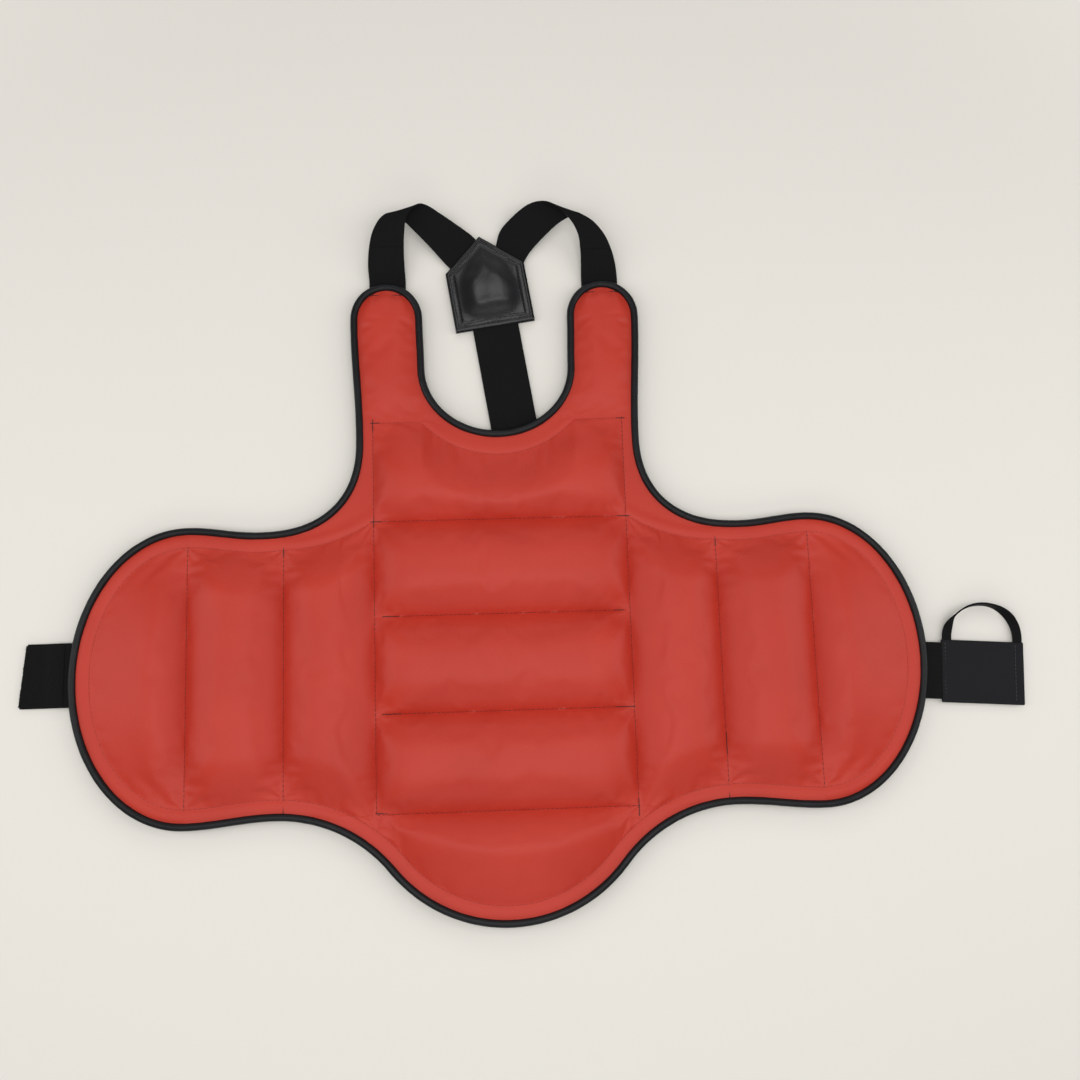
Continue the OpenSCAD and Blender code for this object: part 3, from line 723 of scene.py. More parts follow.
def binding_vinyl():
    """Vinyl tape folded over the edge: black, glossy, with a faint grain."""
    made = Finish("binding_vinyl", roughness=0.38, specular_ior_level=0.2)
    made.toned(colours().binding, linear("1A1B1E"), made.clouds(12, Detail=3))
    made.bumped(made.clouds(2.2, Detail=3), 0.35, 0.3)
    return made.material


def woven(name, colour, light, across, along, roughness, gloss, coords="UV"):
    """Black cloth woven of threads this far apart across and along: matte, finely ribbed."""
    made = Finish(name, coords, roughness=roughness, specular_ior_level=gloss)
    threads = {0: made.bands(across, "X", 0.4), 1: made.bands(along, "Y", 0.6)}
    weave = add_node(made.tree, "Math", None, threads, operation="MULTIPLY").outputs["Value"]
    made.toned(colour, linear(light), weave)
    made.bumped(weave, 0.5, 0.25)
    return made.material


def fuzzy_tape(name, light, fibre):
    """Hook or loop tape: a mat of fine fibres, dull, with no clear thread."""
    made = Finish(name, roughness=0.95, specular_ior_level=0.1, sheen_weight=0.05, sheen_roughness=0.6)
    fibres = made.clouds(fibre, Detail=6, Roughness=0.8)
    made.toned(colours().elastic, linear(light), fibres)
    made.bumped(fibres, 0.9, 0.6)
    return made.material


def finished_leather():
    """Finished black leather: glossy, with a pebbled grain and soft creases."""
    made = Finish("finished_leather", roughness=0.26, specular_ior_level=0.42)
    made.toned(colours().leather, linear("141517"), made.clouds(18, Detail=4))
    pebbles = made.cells(1.6, feature="SMOOTH_F1")
    creases = made.clouds(9, Detail=5)
    height = add_node(made.tree, "Math", {1: 0.25}, {0: pebbles, 2: creases}, operation="MULTIPLY_ADD")
    made.bumped(height.outputs["Value"], 0.2, 0.4)
    return made.material


def closed_cell_foam():
    """Cream closed-cell foam: matte, with fine cells."""
    made = Finish("closed_cell_foam", roughness=0.9)
    made.toned(linear("BDB7A4"), colours().foam, made.cells(1.2))
    return made.material


def sewing_thread(name, colour, light):
    """Twisted polyester thread: a slight gloss, and a painted highlight that makes it lighter in small
    patches, for light catching the twist.
    """
    made = Finish(name, roughness=0.6)
    # The lighter tone is a painted highlight
    made.toned(colour, linear(light), made.clouds(0.6))
    return made.material


def finish(name):
    """A finish by its name, made once."""
    tints = colours()
    makers = {
        "coated_vinyl": (coated_vinyl,),
        "binding_vinyl": (binding_vinyl,),
        "woven_elastic": (woven, name, tints.elastic, "171719", 1.5, 0.9, 0.8, 0.14),
        "nylon_tab": (woven, name, tints.nylon, "1D1D21", 0.8, 0.8, 0.6, 0.16),
        "nylon_lining": (woven, name, tints.lining, "34353A", 1.2, 1.2, 0.7, 0.3, "Object"),
        "loop_pile": (fuzzy_tape, name, "121213", 0.7),
        "hook_tape": (fuzzy_tape, name, "1B1B1D", 1.2),
        "finished_leather": (finished_leather,),
        "closed_cell_foam": (closed_cell_foam,),
        # Each thread's second colour is the lighter tone of its painted highlight; on the black thread
        # it shows as painted glints
        "sunk_thread": (sewing_thread, name, tints.thread, "7A2319"),
        "edge_thread": (sewing_thread, name, tints.edge_thread, "B03527"),
        "tack_thread": (sewing_thread, name, tints.tack, "221817"),
        "black_thread": (sewing_thread, name, linear("1A1A1B"), "48484A"),
    }
    maker, *settings = makers[name]
    return bpy.data.materials.get(name) or maker(*settings)


def on_side(cell, side, height, under, face):
    """place(u, v) of a cell's layer on one side of the panel.

    face is 1 for the front and -1 for the back."""
    def place(u, v):
        x, y = cell.place(u if side * face > 0 else 1 - u, v, under)
        return side * x, y, height(x, y)
    return place


SETTLE_FRAMES = 14


def settle(piece, held):
    """Swells a cover against its sewn lines in a cloth simulation, as the foam inside does.

    held(x, y) says which points are sewn down, in millimetres; no point moves as far as the cap."""
    activate(piece)
    start = [point.co.copy() for point in piece.data.vertices]
    sewn = piece.vertex_groups.new(name="sewn")
    sewn.add([i for i, at in enumerate(start) if held(at.x / MM, at.y / MM)], 1.0, "REPLACE")
    bpy.ops.object.modifier_add(type="CLOTH")
    cloth = piece.modifiers[-1]
    cloth.settings.vertex_group_mass = sewn.name
    cloth.settings.quality = 5
    cloth.settings.mass = 0.2
    cloth.settings.tension_stiffness = 20
    cloth.settings.compression_stiffness = 20
    cloth.settings.bending_stiffness = 10
    cloth.settings.shrink_min = -0.008
    cloth.settings.use_pressure = True
    cloth.settings.uniform_pressure_force = 4
    cloth.settings.effector_weights.gravity = 0
    cloth.collision_settings.use_collision = False
    for step in range(1, SETTLE_FRAMES + 1):
        bpy.context.scene.frame_set(step)
    bpy.ops.object.modifier_apply(modifier=cloth.name)
    bpy.context.scene.frame_set(1)
    cap = sizes().settle_cap
    for point, at in zip(piece.data.vertices, start):
        move = point.co - at
        move *= cap / (cap + move.length)
        move.z = max(move.z, -cap / 4)
        point.co = at + move
    piece.vertex_groups.clear()


class PROTECTOR_OT_covers(bpy.types.Operator):
    """Model the red quilted front covers"""
    bl_idname = "protector.covers"
    bl_label = "Front covers"

    def execute(self, context):
        for name, cell, side, body in QUILTED:
            place = on_side(cell, side, cell.front_z, UNDER, 1)
            piece = grid_piece("vinyl_" + name, cell.across, cell.along, place)
            weld(piece)
            settle(piece, lambda x, y: cell.fullness(side * x, y) < 0.03)
            modify(piece, "SOLIDIFY", thickness=sizes().cover_t, offset=-1)
            smooth(piece, 60)
            dress(piece, finish("coated_vinyl"), ["cover_" + name])
            carry(piece, body)
        return {"FINISHED"}


class PROTECTOR_OT_linings(bpy.types.Operator):
    """Model the woven back linings"""
    bl_idname = "protector.linings"
    bl_label = "Back linings"

    def execute(self, context):
        for name, cell, side, body in QUILTED:
            place = on_side(cell, side, cell.back_z, UNDER, -1)
            piece = grid_piece("nylon_" + name, cell.across // 2, cell.along // 2, place)
            weld(piece)
            modify(piece, "SOLIDIFY", thickness=sizes().lining_t, offset=-1)
            smooth(piece, 60)
            dress(piece, finish("nylon_lining"), ["lining_" + name])
            carry(piece, body)
        return {"FINISHED"}


def resampled(points, step):
    """A path's points again, this far apart and slightly smoothed."""
    points = [Vector(point) for point in points]
    reach = [0.0]
    for a, b in zip(points, points[1:]):
        reach.append(reach[-1] + (b - a).length)
    count = max(2, round(reach[-1] / step))
    even = []
    i = 0
    for k in range(count + 1):
        at = reach[-1] * k / count
        while i < len(points) - 2 and reach[i + 1] < at:
            i += 1
        share = (at - reach[i]) / max(1e-9, reach[i + 1] - reach[i])
        even.append(points[i].lerp(points[i + 1], clamp(share)))
    for _ in range(2):
        middle = [(a + 2 * b + c) / 4 for a, b, c in zip(even, even[1:], even[2:])]
        even = [even[0], *middle, even[-1]]
    return even


def steps(start, end, count):
    return [mix(start, end, i / count) for i in range(count + 1)]


def mirrored(path):
    return [(-point[0], *point[1:]) for point in reversed(path)]


def torso_edge_half():
    """The outer edge from the right rib over the arm hole and the shoulder to the neck's middle."""
    turn_x = ARMHOLE_X + 0.3 * ARMHOLE_W
    turn_y = upper_y(turn_x, 0)
    edge = [(x, upper_y(x, 0)) for x in steps(EDGE_SPLIT, turn_x, 16)]
    edge += [(armhole_edge_x(y, 0), y) for y in steps(turn_y, ARMHOLE_Y, 24)[1:]]
    edge += [(shoulder_outer_x(y, 0), y) for y in steps(ARMHOLE_Y, TIP_Y, 20)[1:]]
    edge += [(TIP_X + SHOULDER_W / 2 * math.cos(a), TIP_Y + TIP_L * math.sin(a))
             for a in steps(0, math.pi, 24)[1:]]
    edge += [(shoulder_inner_x(y, 0), y) for y in steps(TIP_Y, NECK_Y, 12)[1:]]
    return edge + [(NECK_HALF_W * math.cos(a), NECK_Y - NECK_DEPTH * math.sin(a))
                   for a in steps(0, math.pi / 2, 20)[1:]]


def end_edge(inset):
    wide = EDGE_X - END_X - inset
    high = WING_H / 2 - inset
    return [(END_X + wide * math.cos(a), WING_Y + high * math.sin(a))
            for a in steps(-math.pi / 2, math.pi / 2, 60)]


def binding_tube(name, edge):
    """Tape folded over an edge, whose inside is on the path's left: a rounded tube with soft ripples."""
    path = resampled(edge, 2.2)
    around = 18

    def place(u, v):
        i = round(v * (len(path) - 1))
        ahead = (path[min(i + 1, len(path) - 1)] - path[max(i - 1, 0)]).normalized()
        inward = Vector((-ahead.y, ahead.x))
        x, y = path[i]
        width = sizes().binding_w / MM / 2
        # The tape ripples by a few hundredths of its thickness, in waves of about 11 mm and 4 mm
        ripple = 0.06 * noise.noise((x / 11, y / 11, 2)) + 0.05 * noise.noise((x / 4, y / 4, 4))
        height = sizes().binding_t / MM / 2 * (1 + ripple)
        turn = 2 * math.pi * u
        across = math.copysign(abs(math.cos(turn)) ** 0.8, math.cos(turn))
        rise = math.copysign(abs(math.sin(turn)) ** 0.9, math.sin(turn))
        x, y = Vector((x, y)) + inward * width * (1 - across * (1 + ripple / 2))
        return x, y, SEAM_Z + height * rise

    piece = grid_piece(name, around, len(path) - 1, place)
    weld(piece)
    return close_ends(piece)


def close_ends(piece):
    """Fills a tube's open ends and turns its faces outwards."""
    activate(piece)
    bpy.ops.object.mode_set(mode="EDIT")
    bpy.ops.mesh.select_all(action="SELECT")
    bpy.ops.mesh.fill_holes(sides=0)
    bpy.ops.mesh.select_all(action="SELECT")
    bpy.ops.mesh.normals_make_consistent(inside=False)
    bpy.ops.object.mode_set(mode="OBJECT")
    return piece


class PROTECTOR_OT_bindings(bpy.types.Operator):
    """Model the black tape that binds the panel's edge"""
    bl_idname = "protector.bindings"
    bl_label = "Edge binding"

    def execute(self, context):
        half = torso_edge_half()
        piece = binding_tube("edge_tape_torso", half + mirrored(half)[1:])
        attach(self.bound(piece, "binding_torso"), "torso")
        lower = [(x, lower_y(abs(x), 0)) for x in steps(-EDGE_SPLIT, EDGE_SPLIT, 150)]
        carry(self.bound(binding_tube("edge_tape_flap", lower), "binding_flap"), "flap")
        for side, word in SIDES:
            turned = mirrored if side < 0 else list
            upper = [(x, upper_y(x, 0)) for x in steps(END_SPLIT, EDGE_SPLIT, 40)]
            lower = [(x, lower_y(x, 0)) for x in steps(EDGE_SPLIT, END_SPLIT, 40)]
            tubes = [binding_tube("edge_tape", turned(run)) for run in (upper, lower)]
            piece = joined(tubes, "edge_tape_" + word + "_wing")
            self.bound(piece, "binding_" + word + "_wing")
            bend(piece, "torso", word + "_wing", *self.ends_of_bend(side, WING_X))
            run = [(x, lower_y(x, 0)) for x in steps(END_SPLIT, END_X, 20)] + end_edge(0)[1:]
            run += [(x, upper_y(x, 0)) for x in steps(END_X, END_SPLIT, 20)[1:]]
            piece = binding_tube("edge_tape_" + word + "_end", turned(run))
            self.bound(piece, "binding_" + word + "_end")
            bend(piece, word + "_wing", word + "_wing_end", *self.ends_of_bend(side, END_X))
        return {"FINISHED"}

    def ends_of_bend(self, side, x):
        return [(side * (x + reach), 0, SEAM_Z) for reach in (-BINDING_BEND, BINDING_BEND)]

    def bound(self, piece, node):
        smooth(piece)
        return dress(piece, finish("binding_vinyl"), [node])


def across_centre(u):
    return mix(FOAM_INSET - HALF_W, HALF_W - FOAM_INSET, u)


def row_span(low):
    return lambda u, v: (across_centre(u), mix(low + FOAM_INSET, low + ROW_H - FOAM_INSET, v))


def chest_span(u, v):
    x = across_centre(u)
    return x, mix(ROW_TOP + FOAM_INSET, chest_top(x) - FOAM_EDGE, v)


def rib_span(u, v):
    x = mix(HALF_W + FOAM_INSET, WING_X - FOAM_INSET, u)
    return x, mix(rib_low(x) + FOAM_EDGE, rib_high(x) - FOAM_EDGE - 2, v)


def wing_span(u, v):
    x = mix(WING_X + FOAM_INSET, END_X - FOAM_INSET, u)
    return x, mix(lower_y(x, BORDER_W) + FOAM_EDGE, upper_y(x, BORDER_W) - FOAM_EDGE, v)


def end_span(u, v):
    angle = math.pi * 0.88 * (v - 0.5)
    wide = EDGE_X - END_X - BORDER_W - FOAM_EDGE
    x = END_X + FOAM_INSET + u * (wide * math.cos(angle) - FOAM_INSET)
    return x, WING_Y + (WING_H / 2 - BORDER_W - FOAM_EDGE) * math.sin(angle)


def flap_span(u, v):
    half = HALF_W - 2 * FOAM_EDGE
    x = mix(-half, half, u)
    return x, mix(lower_y(abs(x), BORDER_W) + FOAM_INSET, -ROW_TOP - FOAM_INSET, v)


def shoulder_span(u, v):
    y = mix(CHEST_Y + 2 * FOAM_EDGE, TIP_Y, v)
    return mix(shoulder_inner_x(y, FOAM_EDGE), shoulder_outer_x(y, FOAM_EDGE), u), y


class PROTECTOR_OT_foams(bpy.types.Operator):
    """Model the foam blocks inside the quilted pieces"""
    bl_idname = "protector.foams"
    bl_label = "Foam blocks"

    def execute(self, context):
        blocks = [("chest", CENTRE, 1, "torso", chest_span), ("flap", FLAP, 1, "flap", flap_span)]
        for i, word in enumerate(("lower", "middle", "upper")):
            blocks.append(("row_" + word, CENTRE, 1, "torso", row_span(-ROW_TOP + i * ROW_H)))
        for side, word in SIDES:
            blocks += [
                (word + "_rib", RIB, side, "torso", rib_span),
                (word + "_shoulder", SHOULDER, side, "torso", shoulder_span),
                (word + "_wing", WING, side, word + "_wing", wing_span),
                (word + "_end", END, side, word + "_wing_end", end_span),
            ]
        for name, cell, side, body, span in blocks:
            places = [self.face(cell, side, span, up) for up in (True, False)]
            faces = [grid_piece("foam_face", 26, 26, place) for place in places]
            piece = joined(faces, "foam_pad_" + name)
            activate(piece)
            bpy.ops.object.mode_set(mode="EDIT")
            bpy.ops.mesh.select_mode(type="EDGE")
            bpy.ops.mesh.select_all(action="DESELECT")
            bpy.ops.mesh.select_non_manifold()
            bpy.ops.mesh.bridge_edge_loops()
            bpy.ops.mesh.select_all(action="SELECT")
            bpy.ops.mesh.normals_make_consistent(inside=False)
            bpy.ops.object.mode_set(mode="OBJECT")
            smooth(piece)
            dress(piece, finish("closed_cell_foam"), ["foam_" + name])
            carry(piece, body)
        return {"FINISHED"}

    def face(self, cell, side, span, up):
        gap = sizes().cover_t / MM + 2

        def place(u, v):
            x, y = span(u, v)
            low = cell.back_z(x, y) + sizes().lining_t / MM + 0.6
            return side * x, y, max(low + 0.2, cell.front_z(x, y) - gap) if up else low
        return place


# Length, pitch and thickness of the straps' stitches and of a bar tack's
STRAP_STITCH = (2.4 * MM, 3.0 * MM, 0.6 * MM)
TACK_STITCH = (2.1 * MM, 1.9 * MM, 0.75 * MM)


def thread_row(path, length, pitch, thick):
    """One stitch, repeated along a path in millimetres and bent to it; its own sizes are in metres."""
    bpy.ops.object.select_all(action="DESELECT")
    bpy.ops.curve.primitive_nurbs_path_add()
    guide = bpy.context.object
    guide.data.splines.clear()
    spline = guide.data.splines.new("POLY")
    spline.points.add(len(path) - 1)
    for point, place in zip(spline.points, path):
        point.co = (place[0] * MM, place[1] * MM, place[2] * MM, 1)
    guide.data.twist_mode = "Z_UP"
    start = (pitch / 2, 0, 0)
    bpy.ops.mesh.primitive_uv_sphere_add(segments=8, ring_count=5, radius=0.5, location=start)
    row = bpy.context.object
    row.scale = (length, thick, thick)
    bpy.ops.object.transform_apply(location=True, rotation=True, scale=True)
    modify(row, "ARRAY", fit_type="FIT_CURVE", curve=guide, use_relative_offset=False,
           use_constant_offset=True, constant_offset_displace=(pitch, 0, 0))
    modify(row, "CURVE", object=guide, deform_axis="POS_X")
    bpy.data.objects.remove(guide)
    return row


def strap_stitches(paths, name, body):
    """Rows of black stitches on a piece of a strap."""
    piece = joined([thread_row(path, *STRAP_STITCH) for path in paths], name)
    smooth(piece)
    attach(dress(piece, finish("black_thread")), body)


def seam(path, back=False):
    """A row of stitches in a seam's crease; the path gives x and y."""
    z = SEAM_Z - 0.25 if back else SEAM_Z + sizes().seam_rise / MM
    path = [(x, y, z) for x, y in resampled(path, 4)]
    return thread_row(path, sizes().stitch_l, sizes().stitch_pitch, sizes().thread_d)


def tack(start, end, z=None):
    """A bar tack: short thick stitches close together."""
    z = z or SEAM_Z + sizes().seam_rise / MM + 0.25
    path = [(*start, z), (mix(start[0], end[0], 0.5), mix(start[1], end[1], 0.5), z), (*end, z)]
    return thread_row(path, *TACK_STITCH)


# Bar tacks as the photograph shows them, as start and end
TORSO_TACKS = (
    ((-104, 114), (-95, 114)), ((-101, 119), (-101, 111)), ((94, 114), (104, 114)),
    ((-96, -38), (-82, -38)), ((86, -38), (100, -38)), ((-95, 38), (-83, 38)), ((88, 38), (95, 38)),
    ((-102, -113), (-93, -113)), ((101, -122), (101, -110)), ((172, -60), (172, -76)),
    ((172, -104), (172, -111)), ((172, 88), (172, 97)), ((-172, 88), (-172, 97)),
    ((-172, -104), (-172, -112)), ((-103, 195), (-96, 195)), ((-101, 198), (-101, 190)),
    ((96, 195), (102, 195)),
)


class PROTECTOR_OT_stitches(bpy.types.Operator):
    """Model the rows of stitches and the bar tacks"""
    bl_idname = "protector.stitches"
    bl_label = "Stitches"

    def execute(self, context):
        seams = [[(6 - HALF_W, y), (HALF_W - 5, y)] for y in (ROW_H - ROW_TOP, ROW_TOP - ROW_H)]
        seams.append([(-HALF_W, ROW_TOP), (HALF_W, ROW_TOP)])
        edges = [[(x, chest_top(x)) for x in steps(-HALF_W, HALF_W, 60)]]
        for side in (-1, 1):
            seams.append([(side * HALF_W, -ROW_TOP), (side * HALF_W, CHEST_Y)])
            seams.append(self.upright(side * WING_X))
            edges.append([(side * x, rib_high(x)) for x in steps(HALF_W, WING_X, 30)])
            edges.append([(side * x, rib_low(x)) for x in steps(FLAP_END - 20, WING_X, 30)])
        self.sewn("torso", "torso", seams, edges, ["thread_torso"])
        tacks = [tack(start, end) for start, end in TORSO_TACKS]
        for side in (-1, 1):
            inner, outer = ((side * (ARM_X + reach), TIP_TOP - 10) for reach in (-13, 13))
            tacks.append(tack(inner, outer, SEAM_Z + 1.3))
        # One tack crosses the flap's fold, so all of them go to carry with the flap, which bakes them
        # where they stand
        carry(dress(joined(tacks, "bar_tacks_torso"), finish("tack_thread")), "flap")
        edges = [[(x, lower_y(abs(x), BORDER_W)) for x in steps(-FLAP_END + 18, FLAP_END - 18, 80)]]
        self.sewn("flap", "flap", [[(-HALF_W, -ROW_TOP), (HALF_W, -ROW_TOP)]], edges, [])
        for side, word in SIDES:
            wing = word + "_wing"
            xs = steps(WING_X + 2, END_X - 1, 30)
            edges = [[(side * x, edge(x, BORDER_W)) for x in xs] for edge in (upper_y, lower_y)]
            self.sewn(wing, wing, [self.upright(side * END_X)], edges, ["thread_" + wing])
            edges = [[(side * x, y) for x, y in end_edge(BORDER_W)]]
            self.sewn(word + "_end", wing + "_end", [], edges, [])
        return {"FINISHED"}

    def upright(self, x):
        inset = sizes().binding_w / MM
        return [(x, lower_y(abs(x), inset)), (x, upper_y(abs(x), inset))]

    def sewn(self, name, body, seams, edges, nodes):
        """The seams' and the edge's rows of one body, and the black thread of both on the back."""
        # The seams' thread is darkened with painted shade of their creases
        kinds = (
            ("stitches_", "sunk_thread", seams, False, nodes),
            ("edge_stitches_", "edge_thread", edges, False, []),
            ("back_stitches_", "black_thread", seams + edges, True, []),
        )
        for start, thread, paths, back, stands_for in kinds:
            if paths:
                piece = joined([seam(path, back) for path in paths], start + name)
                smooth(piece)
                carry(dress(piece, finish(thread), stands_for), body)


def curve_point(points, share):
    """A point of the smooth curve through points, at a share of its stations."""
    last = len(points) - 1
    i = min(last - 1, int(share * last))
    t = share * last - i
    a, b, c, d = (Vector(points[min(last, max(0, k))]) for k in range(i - 1, i + 3))
    bend_2 = 2 * a - 5 * b + 4 * c - d
    bend_3 = 3 * b - a - 3 * c + d
    return 0.5 * (2 * b + (c - a) * t + bend_2 * t * t + bend_3 * t ** 3)


def strap(name, across, along, place, flat, thickness=WEBBING_T, edge=0.35):
    """A strip of webbing about its middle surface, with slightly rounded edges."""
    piece = grid_piece(name, across, along, place, flat)
    modify(piece, "SOLIDIFY", thickness=thickness * MM, offset=0)
    modify(piece, "BEVEL", width=edge * MM, segments=2, angle_limit=math.radians(60))
    smooth(piece)
    return piece


class PROTECTOR_OT_back_strap(bpy.types.Operator):
    """Model the elastic arms, the leather patch and the stem"""
    bl_idname = "protector.back_strap"
    bl_label = "Back strap"

    def execute(self, context):
        for side, word, edges in ((-1, "left", LEFT_ARM_EDGES), (1, "right", RIGHT_ARM_EDGES)):
            root = ARM_ROOT / (len(edges) - 1)
            place = self.ribbon(side, edges, 0, root)
            piece = strap("elastic_root_" + word, 10, 30, place, (30, 55))
            dress(piece, finish("woven_elastic"), ["anchor_" + word + "_arm"])
            start, end = (ARM_AXIS + Vector((0, reach, 0)) for reach in (-4, 12))
            bend(piece, "torso", "back_strap", start, end)
            piece = strap("elastic_arm_" + word, 10, 64, self.ribbon(side, edges, root, 1), (30, 90))
            dress(piece, finish("woven_elastic"), ["arm_" + word])
            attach(piece, "back_strap")
        self.patch()
        self.stem()
        return {"FINISHED"}

    def ribbon(self, side, edges, start, end):
        root = Vector((side * ARM_X, ARM_AXIS.y, ARM_AXIS.z))
        flip = side > 0

        def place(u, v):
            share = mix(start, end, v)
            a, b = (curve_point([pair[k] for pair in edges], share) for k in (0, 1))
            at = a.lerp(b, 1 - u if flip else u)
            return root + Vector((at.x, at.y, max(at.z, ARM_LOW)))
        return place

    def on_patch(self, x, y, z):
        turned = Matrix.Rotation(PATCH_TURN, 3, "Z") @ Vector((x, y, 0))
        return PATCH_AT.x + turned.x, PATCH_AT.y + turned.y, z

    def patch_gaps(self, x, y):
        """Distances to the patch's sides, its lower edge and its slanting edges."""
        slant = ((PATCH_SIDE + PATCH_POINT - y) * PATCH_W / 2 - PATCH_POINT * abs(x)) / PATCH_SLOPE
        return [max(0.0, gap) for gap in (PATCH_W / 2 - abs(x), y, slant)]

    def patch(self):
        front = node_high("patch_front").z

        def outline(u, v):
            x = mix(-PATCH_W / 2, PATCH_W / 2, u)
            return x, v * (PATCH_SIDE + PATCH_POINT * (1 - abs(x) / (PATCH_W / 2)))

        def face(u, v):
            x, y = outline(u, v)
            gaps = self.patch_gaps(x, y)
            gap = min(gaps)
            puff = math.prod(ease((each - 5.5) / 18) for each in gaps)
            z = front + 0.4 - 0.9 * math.exp(-gap / 0.6) + 1.6 * puff
            z -= sum(0.5 * math.exp(-((gap - row) / 0.7) ** 2) for row in PATCH_ROWS)
            z += 0.25 * noise.noise((x / 14, y / 14, 6)) * clamp(gap / 8)
            return self.on_patch(x, y, z)

        def rear(u, v):
            return self.on_patch(*outline(1 - u, v), node_low("patch_back").z)

        for word, place in (("front", face), ("back", rear)):
            piece = grid_piece("leather_" + word, 66, 72, place)
            modify(piece, "SOLIDIFY", thickness=LEATHER_T * MM, offset=-1)
            smooth(piece)
            dress(piece, finish("finished_leather"), ["patch_" + word])
            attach(piece, "back_strap")
        paths = []
        for gap in PATCH_ROWS:
            wide = PATCH_W / 2 - gap
            peak = PATCH_SIDE + PATCH_POINT - gap * PATCH_SLOPE / (PATCH_W / 2)
            side_y = peak - PATCH_POINT * wide / (PATCH_W / 2)
            right = [(wide, gap), (wide, side_y), (0, peak)]
            corners = [(-wide, gap), *right, (-wide, side_y), (-wide, gap)]
            for a, b in zip(corners, corners[1:]):
                line = [(mix(a[0], b[0], t), mix(a[1], b[1], t)) for t in steps(0, 1, 8)]
                paths.append([self.on_patch(x, y, front + 0.15) for x, y in line])
        strap_stitches(paths, "leather_stitches", "back_strap")

    def stem(self):
        fold = joint_place("stem_fold")
        low = node_low("stem").z + WEBBING_T / 2
        sewn = 22.0
        length = 232.0

        def place(u, v):
            s = mix(-sewn, length, v)
            z = mix(fold.z, low, ease((s - 3) / 22))
            return self.on_patch(mix(-STEM_W / 2, STEM_W / 2, 1 - u), -s, z)

        piece = strap("elastic_stem", 12, 127, place, (STEM_W, sewn + length))
        dress(piece, finish("woven_elastic"), ["anchor_stem", "stem"])
        bend(piece, "back_strap", "stem", self.on_patch(0, -1, fold.z), self.on_patch(0, -8, fold.z))
        tape_low, tape_high = node_low("stem_hook_tape").z, node_high("stem_hook_tape").z
        tape_w = 33.0
        start, end = 172.0, 229.5

        def tape_place(u, v):
            x = mix(-tape_w / 2, tape_w / 2, 1 - u)
            return self.on_patch(x, -mix(start, end, v), (tape_low + tape_high) / 2)

        flat = (tape_w, end - start)
        piece = strap("stem_hooks", 12, 20, tape_place, flat, tape_high - tape_low, 0.15)
        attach(dress(piece, finish("hook_tape"), ["stem_hook_tape"]), "stem")


